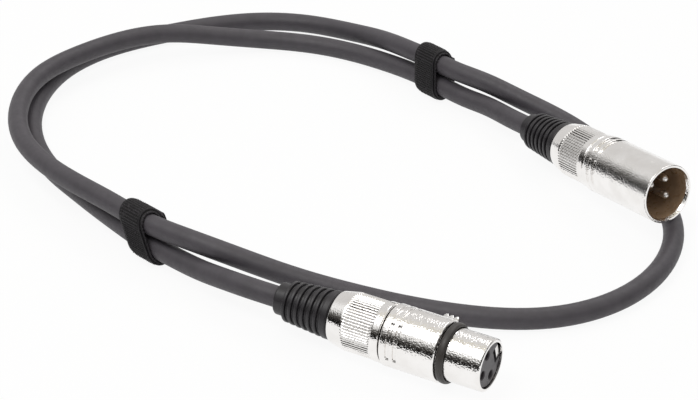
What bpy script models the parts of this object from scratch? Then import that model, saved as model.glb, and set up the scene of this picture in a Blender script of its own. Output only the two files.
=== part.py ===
"""A coiled microphone cable with a three-pin plug, a three-hole socket and two hook-and-loop ties.

Units are metres, +Z is up and the coil lies on the plane z = 0. Each connector is modelled along its own
+Z axis, which points out of its mating end, with its origin where the shell meets the knurled bushing.
"""

import math

import bmesh
import bpy
import numpy as np
from mathutils import Matrix, Vector

MM = 0.001

# Clearances
FIT = 0.3 * MM
SMALL_FIT = 0.25 * MM

# Cable
CABLE_RADIUS = 3.25 * MM
JACKET_WALL = 0.9 * MM
SHIELD_WALL = 0.3 * MM
CORE_RADIUS = 0.55 * MM
CORE_OFFSET = 0.75 * MM
STRIPPED_SHARE = 0.7
PIGTAIL_RADIUS = 0.4 * MM
LOOP_POINTS = 36
LEAD = 8.5 * MM

# Coil, seen from above: angle in degrees, radius and height of the cable's middle in millimetres
COIL_CENTRE = Vector((0.8, 18.2, 0.0)) * MM
COIL_FIRST_SAMPLE = 28.0
COIL_STATIONS = (
    (29, 56.6, 6.1), (38, 55.0, 5.5), (46, 54.8, 5.4), (60, 57.7, 5.3), (77, 65.8, 4.0), (98, 79.1, 3.4),
    (110, 85.3, 4.4), (121, 90.7, 7.2), (130, 97, 9.6), (139, 102.5, 10.3), (148, 107, 10.3),
    (158, 110.3, 10.5), (168, 109.4, 9.9), (182, 102.6, 9.8), (192, 95.4, 10.5), (201, 89.6, 11.5),
    (212, 84.6, 12.3), (225, 82.7, 12.6), (236, 81.7, 12.6), (247, 80.6, 10.6), (256, 80.3, 7.8),
    (265, 81.9, 5.5), (275, 86.2, 3.7), (290, 100.7, 3.3), (302, 113.9, 3.3), (315, 120.4, 3.3),
    (329, 118.0, 3.3), (341, 109.2, 3.3), (355, 92.2, 3.6), (368, 80.5, 5.4), (383, 66.3, 9.3),
    (393, 60.3, 11.5), (405, 56.6, 12.5), (418, 58.4, 12.5), (430, 63.9, 11.6), (440, 74.4, 8.4),
    (448, 84.2, 5.5), (457, 94.5, 3.6), (468, 101.2, 3.3), (485, 106.6, 3.3), (499, 112, 3.3),
    (508, 112.9, 3.3), (519, 110, 3.3), (530, 104.6, 3.3), (546, 94, 3.4), (556, 87.8, 4.2),
    (565, 84.4, 4.9), (575, 82.6, 5.3), (585, 82.6, 5.4), (593, 83.4, 5.5), (602, 86.5, 6.6),
    (608, 89.9, 8.2),
)

# Connector places: middle of the mating rim from the coil's centre, heading and tilt of the axis in
# degrees (heading from +X towards -Y), and the turn of the key side about the axis
MALE_RIM = Vector((101.1, -47.8, 16.3)) * MM
MALE_HEADING = 55.5
MALE_TILT = 6.5
MALE_KEY_ANGLE = 228.0
FEMALE_RIM = Vector((42.7, -129.6, 9.4)) * MM
FEMALE_HEADING = 30.0
FEMALE_TILT = 0.0
FEMALE_KEY_ANGLE = 17.0

# Bushing and boot, the same on both connectors
RING_RADIUS = 9.0 * MM
RING_LENGTH = 2.8 * MM
KNURL_RADIUS = 8.75 * MM
KNURL_LENGTH = 9.7 * MM
KNURL_FLUTES = 60
FLUTE_DEPTH = 0.3 * MM
SHOULDER_LENGTH = 5.3 * MM
SHOULDER_RADIUS = 7.4 * MM
EDGE = 0.4 * MM
BUSHING_LENGTH = RING_LENGTH + KNURL_LENGTH + SHOULDER_LENGTH
BOOT_LENGTH = 19.3 * MM
BOOT_RADIUS = 7.3 * MM
BOOT_BAND = 2.3 * MM
BOOT_RIBS = 6
BOOT_RIB_END_RADIUS = 6.25 * MM
BOOT_GROOVE = 0.9 * MM
BOOT_GROOVE_DEPTH = 1.1 * MM
COLLAR_LENGTH = 3.8 * MM
COLLAR_RADIUS = 4.9 * MM
NECK_RADIUS = 5.6 * MM
NECK_LENGTH = 3.6 * MM

# Spigot and chuck, the same on both connectors
SPIGOT_RADIUS = 8.1 * MM
SPIGOT_LENGTH = 2.6 * MM
REAR_BORE_RADIUS = 7.2 * MM
CHUCK_FRONT = -5.2 * MM
CHUCK_LENGTH = 7.6 * MM
CHUCK_SLOTS = 4
CHUCK_SLOT_WIDTH = 1.2 * MM
CHUCK_SLOT_LENGTH = 5.0 * MM
SHIELD_SHOWN = 1.0 * MM

# Grooves round both shells, measured from the bushing's seam
GROOVE_PLACES = (2.8 * MM, 5.2 * MM)
GROOVE_WIDTH = 1.2 * MM
GROOVE_DEPTH = 0.55 * MM

# Contacts
CONTACT_CIRCLE_RADIUS = 4.1 * MM
PIN_RADIUS = 1.2 * MM
PIN_RECESS = 3.5 * MM
CUP_RADIUS = 1.35 * MM
CUP_BORE_RADIUS = 0.9 * MM
CUP_DEPTH = 2.6 * MM
CUP_LENGTH = 4.0 * MM
WIRE_IN_CUP = 1.6 * MM

# Male shell and insert
MALE_RADIUS = 9.5 * MM
MALE_LENGTH = 30.2 * MM
CAVITY_RADIUS = 8.2 * MM
CAVITY_DEPTH = 16.5 * MM
MOUTH_CHAMFER = 0.5 * MM
RIM_CHAMFER = 0.2 * MM
MALE_INSERT_LENGTH = 8.5 * MM
CATCH_WIDTH = 4.6 * MM
CATCH_LENGTH = 4.0 * MM
CATCH_DEPTH = 0.7 * MM
CATCH_FROM_RIM = 4.0 * MM

# Female shell, insert and ring
FEMALE_LENGTH = 31.3 * MM
BODY_RADIUS = 9.3 * MM
BODY_LENGTH = 17.6 * MM
NOSE_RADIUS = 7.85 * MM
NOSE_WALL = 1.0 * MM
NOSE_CHAMFER = 0.4 * MM
SEAT_HEIGHT = 19.7 * MM
FACE_RECESS = 0.6 * MM
FEMALE_INSERT_REAR = 3.5 * MM
SEAL_LENGTH = 2.8 * MM
SEAL_RADIUS = 9.0 * MM
SOCKET_RADIUS = 1.6 * MM
SOCKET_BORE_RADIUS = 1.25 * MM
SOCKET_BORE_DEPTH = 14.0 * MM
FACE_LIP = 1.2 * MM
FACE_HOLE_RADIUS = 1.35 * MM

# Latch of the female connector, in the plane of its key side
LATCH_WIDTH = 4.0 * MM
LATCH_THICKNESS = 1.6 * MM
LATCH_INNER = 4.6 * MM
LATCH_PIVOT_RADIUS = 5.2 * MM
LATCH_PIVOT_HEIGHT = 6.0 * MM
LATCH_EYE_RADIUS = 1.3 * MM
LATCH_PIN_RADIUS = 0.6 * MM
LATCH_PIN_LENGTH = 8.0 * MM
LATCH_TIP_GAP = 0.2 * MM
LATCH_SWING_ROOM = 1.6 * MM
TOOTH_LENGTH = 2.4 * MM
TOOTH_FROM_FACE = 4.0 * MM
TOOTH_PROUD = 0.65 * MM
TOOTH_WIDTH = 3.2 * MM
BUTTON_LENGTH = 5.0 * MM
BUTTON_WIDTH = 6.0 * MM
BUTTON_INNER = 7.7 * MM
BUTTON_PROUD = 1.2 * MM
WINDOW_ROOM = 0.45 * MM
SPRING_RADIUS = 1.1 * MM
SPRING_WIRE = 0.2 * MM
SPRING_CURLS = 3
SPRING_CURL_POINTS = 9
SPRING_SEAT = 1.1 * MM
SPRING_HEIGHT = 14.2 * MM

# Ties
TIE_WIDTH = 9.0 * MM
TIE_THICKNESS = 1.1 * MM
TIE_SLACK = 0.8 * MM
TIE_LAP = (0.0, 45.0)
TIE_ARC_STEPS = 8
TIE_ANGLES = (224.3, 55.8)
TIE_LEANS = (0.4, 0.2)

# Facets round turned pieces
ROUND = 32
BOOT_ROUND = 20
SMALL_ROUND = 12


def clear_scene():
    for item in list(bpy.data.objects):
        bpy.data.objects.remove(item, do_unlink=True)


def new_collection(name):
    collection = bpy.data.collections.new(name)
    bpy.context.scene.collection.children.link(collection)
    return collection


clear_scene()
PARTS = new_collection("xlr_cable_coil")
CUTTERS = new_collection("cutters")


def material(name, colour, roughness, metallic=0.0):
    made = bpy.data.materials.new(name)
    made.use_nodes = True
    shader = made.node_tree.nodes["Principled BSDF"]
    shader.inputs["Base Color"].default_value = (*colour, 1.0)
    shader.inputs["Roughness"].default_value = roughness
    shader.inputs["Metallic"].default_value = metallic
    return made


NICKEL = (0.66, 0.64, 0.62)
BLACK_RUBBER = (0.02, 0.02, 0.022)
BLACK_PLASTIC = (0.03, 0.03, 0.033)


def place(item, parent, collection=PARTS):
    collection.objects.link(item)
    item.parent = parent
    return item


def finish(item, parent, surface):
    item.data.materials.append(surface)
    return place(item, parent)


def as_cutter(item, parent):
    item.hide_render = True
    item.display_type = "WIRE"
    return place(item, parent, CUTTERS)


def is_cap_middle(vertex):
    """Whether a point is the middle of a flat round cap about Z."""
    level = all(abs(edge.other_vert(vertex).co.z - vertex.co.z) < 0.000001 for edge in vertex.link_edges)
    return level and vertex.co.xy.length < 0.000001


def meshed(guide):
    """The closed mesh of an object that isn't in a collection yet."""
    PARTS.objects.link(guide)
    depsgraph = bpy.context.evaluated_depsgraph_get()
    mesh = bpy.data.meshes.new_from_object(guide.evaluated_get(depsgraph))
    build = bmesh.new()
    build.from_mesh(mesh)
    bmesh.ops.remove_doubles(build, verts=build.verts, dist=0.000001)
    bmesh.ops.dissolve_verts(build, verts=[vertex for vertex in build.verts if is_cap_middle(vertex)])
    bmesh.ops.recalc_face_normals(build, faces=build.faces)
    build.to_mesh(mesh)
    build.free()
    bpy.data.objects.remove(guide, do_unlink=True)
    return mesh


def applied(guide):
    """The object with its modifiers applied, shaded smooth up to its edges."""
    name = guide.name
    mesh = meshed(guide)
    mesh.shade_smooth()
    mesh.set_sharp_from_angle(angle=math.radians(35))
    return bpy.data.objects.new(name, mesh)


def turned(name, profile, steps=ROUND, closed=True):
    """A profile of (radius, height) points, running down the outer side, turned about Z."""
    mesh = bpy.data.meshes.new(name)
    points = [(radius, 0.0, height) for radius, height in profile]
    edges = [(i, i + 1) for i in range(len(points) - 1)]
    if closed:
        edges.append((len(points) - 1, 0))
    mesh.from_pydata(points, edges, [])
    item = bpy.data.objects.new(name, mesh)
    screw = item.modifiers.new("turn", "SCREW")
    screw.axis = "Z"
    screw.angle = math.tau
    screw.steps = steps
    screw.render_steps = steps
    screw.use_merge_vertices = True
    screw.merge_threshold = 0.00001
    return applied(item)


def solid_box(name, low, high):
    """A box between two corners."""
    mesh = bpy.data.meshes.new(name)
    build = bmesh.new()
    bmesh.ops.create_cube(build, size=1.0)
    for vertex in build.verts:
        vertex.co = Vector((low[i] if vertex.co[i] < 0 else high[i] for i in range(3)))
    build.to_mesh(mesh)
    build.free()
    return bpy.data.objects.new(name, mesh)


def solid_rod(name, radius, start, end, steps=SMALL_ROUND):
    """A round rod from one point to another."""
    start = Vector(start)
    end = Vector(end)
    along = end - start
    mesh = bpy.data.meshes.new(name)
    build = bmesh.new()
    turn = along.to_track_quat("Z", "Y").to_matrix().to_4x4()
    bmesh.ops.create_cone(
        build, cap_ends=True, segments=steps, radius1=radius, radius2=radius, depth=along.length,
        matrix=Matrix.Translation((start + end) / 2) @ turn,
    )
    build.to_mesh(mesh)
    build.free()
    return bpy.data.objects.new(name, mesh)


def cut(item, cutter, operation="DIFFERENCE"):
    boolean = item.modifiers.new(cutter.name, "BOOLEAN")
    boolean.operation = operation
    boolean.object = cutter
    boolean.solver = "EXACT"


def tube(name, points, radius, wall=None, radii=None, resolution=1):
    """A tube along world points, solid with caps, or hollow with open ends when it has a wall."""
    curve = bpy.data.curves.new(name, "CURVE")
    curve.dimensions = "3D"
    curve.bevel_depth = radius
    curve.bevel_resolution = resolution
    curve.use_fill_caps = wall is None
    spline = curve.splines.new("POLY")
    spline.points.add(len(points) - 1)
    for i, point in enumerate(points):
        spline.points[i].co = (*point, 1.0)
        spline.points[i].radius = 1.0 if radii is None else radii[i]
    item = bpy.data.objects.new(name, curve)
    if wall is not None:
        shell = item.modifiers.new("wall", "SOLIDIFY")
        shell.thickness = wall
        shell.offset = -1.0
    return item


def connector_frame(name, rim, heading, tilt, key_angle, length):
    """An empty at the shell's rear seam: Z along the axis, X towards the key side."""
    heading = math.radians(heading)
    tilt = math.radians(tilt)
    flat = math.cos(tilt)
    axis = Vector((math.cos(heading) * flat, -math.sin(heading) * flat, math.sin(tilt)))
    right = Vector((-axis.y, axis.x, 0.0)).normalized()
    up = axis.cross(right)
    key = right * math.cos(math.radians(key_angle)) + up * math.sin(math.radians(key_angle))
    side = axis.cross(key)
    seam = COIL_CENTRE + rim - axis * length
    frame = bpy.data.objects.new(name, None)
    frame.empty_display_size = 0.01
    frame.matrix_world = Matrix((
        (key.x, side.x, axis.x, seam.x),
        (key.y, side.y, axis.y, seam.y),
        (key.z, side.z, axis.z, seam.z),
        (0.0, 0.0, 0.0, 1.0),
    ))
    PARTS.objects.link(frame)
    return frame


MALE = connector_frame("male_connector", MALE_RIM, MALE_HEADING, MALE_TILT, MALE_KEY_ANGLE, MALE_LENGTH)
FEMALE = connector_frame(
    "female_connector", FEMALE_RIM, FEMALE_HEADING, FEMALE_TILT, FEMALE_KEY_ANGLE, FEMALE_LENGTH
)


def on_circle(radius, degrees):
    angle = math.radians(degrees)
    return radius * math.cos(angle), radius * math.sin(angle)


def contact_places():
    """Contacts 1, 2 and 3 of the plug, as angles from the key side; the socket mirrors 1 and 2."""
    return {1: 90.0, 2: -90.0, 3: 180.0}


def groove_profile(radius):
    """The outer side of a shell from above its grooves down to its seam."""
    points = []
    for place_z in sorted(GROOVE_PLACES, reverse=True):
        top = place_z + GROOVE_WIDTH / 2
        bottom = place_z - GROOVE_WIDTH / 2
        points += [(radius, top), (radius - GROOVE_DEPTH, top)]
        points += [(radius - GROOVE_DEPTH, bottom), (radius, bottom)]
    points += [(radius, EDGE), (radius - EDGE, 0.0)]
    return points


def spigot_profile():
    return [(SPIGOT_RADIUS, 0.0), (SPIGOT_RADIUS, -SPIGOT_LENGTH), (REAR_BORE_RADIUS, -SPIGOT_LENGTH)]


def make_male_shell():
    floor = MALE_LENGTH - CAVITY_DEPTH
    profile = [(MALE_RADIUS - RIM_CHAMFER, MALE_LENGTH), (MALE_RADIUS, MALE_LENGTH - RIM_CHAMFER)]
    profile += groove_profile(MALE_RADIUS) + spigot_profile()
    profile += [(REAR_BORE_RADIUS, floor), (CAVITY_RADIUS, floor)]
    profile.append((CAVITY_RADIUS, MALE_LENGTH - 2 * MOUTH_CHAMFER))
    profile.append((CAVITY_RADIUS + MOUTH_CHAMFER, MALE_LENGTH))
    shell = turned("male_shell", profile)
    high = MALE_LENGTH - CATCH_FROM_RIM
    catch = solid_box(
        "catch_recess",
        (CAVITY_RADIUS / 2, -CATCH_WIDTH / 2, high - CATCH_LENGTH),
        (CAVITY_RADIUS + CATCH_DEPTH, CATCH_WIDTH / 2, high),
    )
    cut(shell, as_cutter(catch, MALE))
    finish(shell, MALE, material("male_shell_nickel", NICKEL, 0.3, 1.0))


def make_male_insert():
    face = MALE_LENGTH - CAVITY_DEPTH
    radius = REAR_BORE_RADIUS - FIT
    rear = face - MALE_INSERT_LENGTH
    insert = turned("male_insert", [(0.0, face), (radius, face), (radius, rear), (0.0, rear)], closed=False)
    for number, angle in contact_places().items():
        x, y = on_circle(CONTACT_CIRCLE_RADIUS, angle)
        hole = solid_rod(f"pin_hole_{number}", PIN_RADIUS + SMALL_FIT, (x, y, rear - FIT), (x, y, face + FIT))
        cut(insert, as_cutter(hole, MALE))
    finish(insert, MALE, material("male_insert_plastic", BLACK_PLASTIC, 0.45))


def make_male_pins():
    face = MALE_LENGTH - CAVITY_DEPTH
    insert_rear = face - MALE_INSERT_LENGTH
    tip = MALE_LENGTH - PIN_RECESS
    cup_top = insert_rear - SMALL_FIT
    rear = cup_top - CUP_LENGTH
    for number, angle in contact_places().items():
        profile = [
            (0.0, tip), (PIN_RADIUS / 2, tip - PIN_RADIUS / 8), (PIN_RADIUS * 0.87, tip - PIN_RADIUS / 2),
            (PIN_RADIUS, tip - PIN_RADIUS), (PIN_RADIUS, cup_top), (CUP_RADIUS, cup_top), (CUP_RADIUS, rear),
            (CUP_BORE_RADIUS, rear), (CUP_BORE_RADIUS, rear + CUP_DEPTH), (0.0, rear + CUP_DEPTH),
        ]
        pin = turned(f"male_pin_{number}", profile, SMALL_ROUND, closed=False)
        pin.location = (*on_circle(CONTACT_CIRCLE_RADIUS, angle), 0.0)
        finish(pin, MALE, material(f"pin_{number}_silver", (0.75, 0.73, 0.7), 0.25, 1.0))


def male_cup_rear():
    return MALE_LENGTH - CAVITY_DEPTH - MALE_INSERT_LENGTH - SMALL_FIT - CUP_LENGTH


def female_cup_rear():
    return FEMALE_INSERT_REAR - SMALL_FIT - CUP_LENGTH


def latch_slot(name, low, high, width, inner, outer):
    """A cutter across the key side's wall between two heights."""
    return solid_box(name, (inner, -width / 2, low), (outer, width / 2, high))


def tooth_heights():
    top = FEMALE_LENGTH - TOOTH_FROM_FACE
    return top - TOOTH_LENGTH, top


def button_heights():
    top = BODY_LENGTH - 2 * WINDOW_ROOM
    return top - BUTTON_LENGTH, top


def make_female_shell():
    bore = NOSE_RADIUS - NOSE_WALL
    profile = [(NOSE_RADIUS - NOSE_CHAMFER, FEMALE_LENGTH), (NOSE_RADIUS, FEMALE_LENGTH - NOSE_CHAMFER)]
    profile += [(NOSE_RADIUS, BODY_LENGTH), (BODY_RADIUS - EDGE, BODY_LENGTH)]
    profile += [(BODY_RADIUS, BODY_LENGTH - EDGE)]
    profile += groove_profile(BODY_RADIUS) + spigot_profile()
    profile += [(REAR_BORE_RADIUS, SEAT_HEIGHT), (bore, SEAT_HEIGHT), (bore, FEMALE_LENGTH)]
    shell = turned("female_shell", profile)
    outer = BODY_RADIUS + BUTTON_PROUD
    low, high = tooth_heights()
    room = WINDOW_ROOM
    slot = latch_slot("tooth_slot", low - room, high + room, TOOTH_WIDTH + 2 * room, LATCH_INNER, outer)
    cut(shell, as_cutter(slot, FEMALE))
    low, high = button_heights()
    window = latch_slot("button_window", low - room, high + room, BUTTON_WIDTH + 2 * room, LATCH_INNER, outer)
    cut(shell, as_cutter(window, FEMALE))
    finish(shell, FEMALE, material("female_shell_nickel", NICKEL, 0.3, 1.0))


def make_female_insert():
    face = FEMALE_LENGTH - FACE_RECESS
    front_radius = NOSE_RADIUS - NOSE_WALL - FIT
    rear_radius = REAR_BORE_RADIUS - FIT
    step = SEAT_HEIGHT - FIT
    rear = FEMALE_INSERT_REAR
    profile = [(0.0, face), (front_radius, face), (front_radius, step), (rear_radius, step)]
    profile += [(rear_radius, rear), (0.0, rear)]
    insert = turned("female_insert", profile, closed=False)
    channel_floor = LATCH_INNER - LATCH_SWING_ROOM
    channel = solid_box(
        "latch_channel",
        (channel_floor, -LATCH_WIDTH / 2 - WINDOW_ROOM, rear - FIT),
        (BODY_RADIUS, LATCH_WIDTH / 2 + WINDOW_ROOM, face + FIT),
    )
    cut(insert, as_cutter(channel, FEMALE))
    pocket = solid_rod(
        "spring_pocket", SPRING_RADIUS + SPRING_WIRE + FIT,
        (SPRING_SEAT, 0.0, SPRING_HEIGHT), (channel_floor + FIT, 0.0, SPRING_HEIGHT),
    )
    cut(insert, as_cutter(pocket, FEMALE))
    reach = LATCH_PIN_LENGTH / 2 + FIT
    bore = solid_rod(
        "latch_pin_bore", LATCH_PIN_RADIUS + SMALL_FIT,
        (LATCH_PIVOT_RADIUS, -reach, LATCH_PIVOT_HEIGHT), (LATCH_PIVOT_RADIUS, reach, LATCH_PIVOT_HEIGHT),
    )
    cut(insert, as_cutter(bore, FEMALE))
    for number, angle in contact_places().items():
        x, y = on_circle(CONTACT_CIRCLE_RADIUS, -angle)
        lip = face - FACE_LIP
        profile = [(0.0, face + FIT), (FACE_HOLE_RADIUS, face + FIT), (FACE_HOLE_RADIUS, lip)]
        bore = SOCKET_RADIUS + SMALL_FIT
        profile += [(bore, lip), (bore, rear - FIT), (0.0, rear - FIT)]
        hole = turned(f"socket_hole_{number}", profile, SMALL_ROUND, closed=False)
        hole.location = (x, y, 0.0)
        cut(insert, as_cutter(hole, FEMALE))
    finish(insert, FEMALE, material("female_insert_plastic", BLACK_PLASTIC, 0.5))


def make_female_sockets():
    top = FEMALE_LENGTH - FACE_RECESS - FACE_LIP - SMALL_FIT
    rear = female_cup_rear()
    for number, angle in contact_places().items():
        profile = [
            (SOCKET_RADIUS, top), (SOCKET_RADIUS, FEMALE_INSERT_REAR),
            (CUP_RADIUS, FEMALE_INSERT_REAR - SMALL_FIT),
            (CUP_RADIUS, rear), (CUP_BORE_RADIUS, rear), (CUP_BORE_RADIUS, rear + CUP_DEPTH),
            (0.0, rear + CUP_DEPTH),
        ]
        bore_floor = top - SOCKET_BORE_DEPTH
        start = [(0.0, bore_floor), (SOCKET_BORE_RADIUS, bore_floor), (SOCKET_BORE_RADIUS, top)]
        socket = turned(f"female_socket_{number}", start + profile, SMALL_ROUND, closed=False)
        socket.location = (*on_circle(CONTACT_CIRCLE_RADIUS, -angle), 0.0)
        finish(socket, FEMALE, material(f"socket_{number}_silver", (0.75, 0.73, 0.7), 0.25, 1.0))


def make_latch():
    pivot = bpy.data.objects.new("latch_pivot", None)
    pivot.empty_display_size = 0.004
    pivot.location = (LATCH_PIVOT_RADIUS, 0.0, LATCH_PIVOT_HEIGHT)
    place(pivot, FEMALE)

    def from_pivot(radius, side, height):
        return radius - LATCH_PIVOT_RADIUS, side, height - LATCH_PIVOT_HEIGHT

    half = LATCH_WIDTH / 2
    tip = FEMALE_LENGTH - FACE_RECESS - LATCH_TIP_GAP
    outer = LATCH_INNER + LATCH_THICKNESS
    latch = solid_rod("latch", LATCH_EYE_RADIUS, (0.0, -half, 0.0), (0.0, half, 0.0), 16)
    bar = solid_box(
        "latch_bar", from_pivot(LATCH_INNER, -half, LATCH_PIVOT_HEIGHT), from_pivot(outer, half, tip)
    )
    low, high = button_heights()
    stem_top = from_pivot(BUTTON_INNER + FIT, half, high)
    stem = solid_box("latch_stem", from_pivot(outer - FIT, -half, low), stem_top)
    button = solid_box(
        "latch_button",
        from_pivot(BUTTON_INNER, -BUTTON_WIDTH / 2, low),
        from_pivot(BODY_RADIUS + BUTTON_PROUD, BUTTON_WIDTH / 2, high),
    )
    low, high = tooth_heights()
    tooth = solid_box(
        "latch_tooth",
        from_pivot(outer - FIT, -TOOTH_WIDTH / 2, low),
        from_pivot(NOSE_RADIUS + TOOTH_PROUD, TOOTH_WIDTH / 2, high),
    )
    for added in (bar, stem, button, tooth):
        cut(latch, as_cutter(added, pivot), "UNION")
    reach = half + FIT
    eye = solid_rod("latch_eye", LATCH_PIN_RADIUS + SMALL_FIT, (0.0, -reach, 0.0), (0.0, reach, 0.0))
    cut(latch, as_cutter(eye, pivot))
    finish(latch, pivot, material("latch_steel", (0.7, 0.68, 0.66), 0.25, 1.0))


def make_latch_pin():
    half = LATCH_PIN_LENGTH / 2
    pin = solid_rod(
        "latch_pin", LATCH_PIN_RADIUS,
        (LATCH_PIVOT_RADIUS, -half, LATCH_PIVOT_HEIGHT), (LATCH_PIVOT_RADIUS, half, LATCH_PIVOT_HEIGHT),
    )
    finish(pin, FEMALE, material("latch_pin_steel", (0.6, 0.6, 0.6), 0.3, 1.0))


def make_latch_spring():
    """A small compression spring under the latch bar, along the key direction."""
    low = SPRING_SEAT + FIT + SPRING_WIRE
    high = LATCH_INNER - FIT - SPRING_WIRE
    count = SPRING_CURLS * SPRING_CURL_POINTS
    points = []
    for i in range(count + 1):
        angle = math.tau * i / SPRING_CURL_POINTS
        x = low + (high - low) * i / count
        points.append((x, SPRING_RADIUS * math.cos(angle), SPRING_HEIGHT + SPRING_RADIUS * math.sin(angle)))
    spring = tube("latch_spring", points, SPRING_WIRE)
    gap = (high - low) / SPRING_CURLS - 2 * SPRING_WIRE
    print(f"latch spring: least gap between curls {gap / MM:.2f} mm")
    finish(spring, FEMALE, material("spring_steel", (0.6, 0.6, 0.6), 0.3, 1.0))


def make_seal_ring():
    low = BODY_LENGTH + FIT
    high = low + SEAL_LENGTH
    inner = NOSE_RADIUS + SMALL_FIT
    profile = [(SEAL_RADIUS - EDGE, high), (SEAL_RADIUS, high - EDGE), (SEAL_RADIUS, low + EDGE)]
    profile += [(SEAL_RADIUS - EDGE, low), (inner, low), (inner, high)]
    finish(turned("seal_ring", profile), FEMALE, material("seal_ring_rubber", BLACK_RUBBER, 0.6))


def make_chuck(side, frame):
    radius = REAR_BORE_RADIUS - FIT
    rear = CHUCK_FRONT - CHUCK_LENGTH
    bore = CABLE_RADIUS + FIT
    profile = [(radius, CHUCK_FRONT), (radius, rear + EDGE), (radius - EDGE, rear)]
    profile += [(bore, rear), (bore, CHUCK_FRONT)]
    chuck = turned(f"{side}_chuck", profile, BOOT_ROUND)
    for i in range(CHUCK_SLOTS // 2):
        slot = solid_box(
            f"{side}_chuck_slot_{i + 1}",
            (-radius - FIT, -CHUCK_SLOT_WIDTH / 2, rear - FIT),
            (radius + FIT, CHUCK_SLOT_WIDTH / 2, rear + CHUCK_SLOT_LENGTH),
        )
        slot.rotation_euler.z = math.tau * i / CHUCK_SLOTS
        cut(chuck, as_cutter(slot, frame))
    finish(chuck, frame, material(f"{side}_chuck_plastic", (0.05, 0.05, 0.055), 0.5))


def knurl_outline(name, top, bottom):
    """The fluted sleeve of a bushing: a star outline with a round hole, as tall as the knurl."""
    curve = bpy.data.curves.new(name, "CURVE")
    curve.dimensions = "2D"
    curve.fill_mode = "BOTH"
    curve.extrude = (top - bottom) / 2
    root = KNURL_RADIUS - FLUTE_DEPTH
    rings = (
        [on_circle(root if i % 2 else KNURL_RADIUS, 180 * i / KNURL_FLUTES) for i in range(2 * KNURL_FLUTES)],
        [on_circle(root - FLUTE_DEPTH, 360 * i / ROUND) for i in range(ROUND)],
    )
    for ring in rings:
        spline = curve.splines.new("POLY")
        spline.points.add(len(ring) - 1)
        spline.use_cyclic_u = True
        for i, point in enumerate(ring):
            spline.points[i].co = (*point, 0.0, 1.0)
    item = bpy.data.objects.new(name, meshed(bpy.data.objects.new(name + "_outline", curve)))
    item.location.z = (top + bottom) / 2
    return item


def make_bushing(side, frame):
    top = -FIT
    knurl_top = top - RING_LENGTH
    knurl_bottom = knurl_top - KNURL_LENGTH
    rear = top - BUSHING_LENGTH
    core = KNURL_RADIUS - 1.5 * FLUTE_DEPTH
    thread = SPIGOT_RADIUS + FIT
    chuck_bore = REAR_BORE_RADIUS
    thread_floor = -SPIGOT_LENGTH - FIT
    chuck_floor = CHUCK_FRONT - CHUCK_LENGTH - FIT
    neck_bore = NECK_RADIUS + FIT
    profile = [
        (RING_RADIUS - EDGE, top), (RING_RADIUS, top - EDGE), (RING_RADIUS, knurl_top + EDGE),
        (RING_RADIUS - EDGE, knurl_top), (core, knurl_top),
        (core, knurl_bottom), (KNURL_RADIUS, knurl_bottom),
        (KNURL_RADIUS, knurl_bottom - EDGE), (SHOULDER_RADIUS + EDGE, rear + EDGE), (SHOULDER_RADIUS, rear),
        (neck_bore, rear), (neck_bore, chuck_floor), (chuck_bore, chuck_floor),
        (chuck_bore, thread_floor), (thread, thread_floor), (thread, top),
    ]
    bushing = turned(f"{side}_bushing", profile)
    sleeve = knurl_outline(f"{side}_knurl", knurl_top + EDGE / 4, knurl_bottom - EDGE / 4)
    cut(bushing, as_cutter(sleeve, frame), "UNION")
    finish(bushing, frame, material(f"{side}_bushing_nickel", NICKEL, 0.35, 1.0))


def boot_rear():
    return -2 * FIT - BUSHING_LENGTH - BOOT_LENGTH


def make_boot(side, frame):
    top = -2 * FIT - BUSHING_LENGTH
    rear = boot_rear()
    bore = CABLE_RADIUS + FIT
    ribs_top = top - BOOT_BAND
    ribs_bottom = rear + COLLAR_LENGTH
    pitch = (ribs_top - ribs_bottom) / BOOT_RIBS
    neck_top = top + NECK_LENGTH
    profile = [(NECK_RADIUS, neck_top), (NECK_RADIUS, top)]
    profile += [(BOOT_RADIUS - EDGE, top), (BOOT_RADIUS, top - EDGE)]
    for i in range(BOOT_RIBS):
        start = BOOT_RADIUS + (BOOT_RIB_END_RADIUS - BOOT_RADIUS) * i / BOOT_RIBS
        end = BOOT_RADIUS + (BOOT_RIB_END_RADIUS - BOOT_RADIUS) * (i + 1) / BOOT_RIBS
        height = ribs_top - pitch * i
        profile += [(start, height), (start - BOOT_GROOVE_DEPTH, height)]
        profile += [(start - BOOT_GROOVE_DEPTH, height - BOOT_GROOVE), (end, height - BOOT_GROOVE)]
    profile += [(BOOT_RIB_END_RADIUS, ribs_bottom), (COLLAR_RADIUS, ribs_bottom)]
    profile += [(COLLAR_RADIUS, rear + EDGE), (COLLAR_RADIUS - EDGE, rear), (bore, rear), (bore, neck_top)]
    boot = turned(f"{side}_boot", profile, BOOT_ROUND)
    finish(boot, frame, material(f"{side}_boot_rubber", BLACK_RUBBER, 0.55))


def natural_spline(knots, values):
    """A function that runs smoothly through the values at the knots."""
    knots = np.asarray(knots, float)
    values = np.asarray(values, float)
    steps = np.diff(knots)
    count = len(knots)
    system = np.eye(count)
    target = np.zeros(count)
    for i in range(1, count - 1):
        system[i, i - 1] = steps[i - 1]
        system[i, i] = 2 * (steps[i - 1] + steps[i])
        system[i, i + 1] = steps[i]
        rise = (values[i + 1] - values[i]) / steps[i] - (values[i] - values[i - 1]) / steps[i - 1]
        target[i] = 6 * rise
    bend = np.linalg.solve(system, target)

    def at(place):
        i = int(np.clip(np.searchsorted(knots, place) - 1, 0, count - 2))
        before = (knots[i + 1] - place) / steps[i]
        after = (place - knots[i]) / steps[i]
        curve = (before ** 3 - before) * bend[i] + (after ** 3 - after) * bend[i + 1]
        return before * values[i] + after * values[i + 1] + curve * steps[i] ** 2 / 6

    return at


def on_axis(frame, height):
    return frame.matrix_world @ Vector((0.0, 0.0, height))


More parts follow.
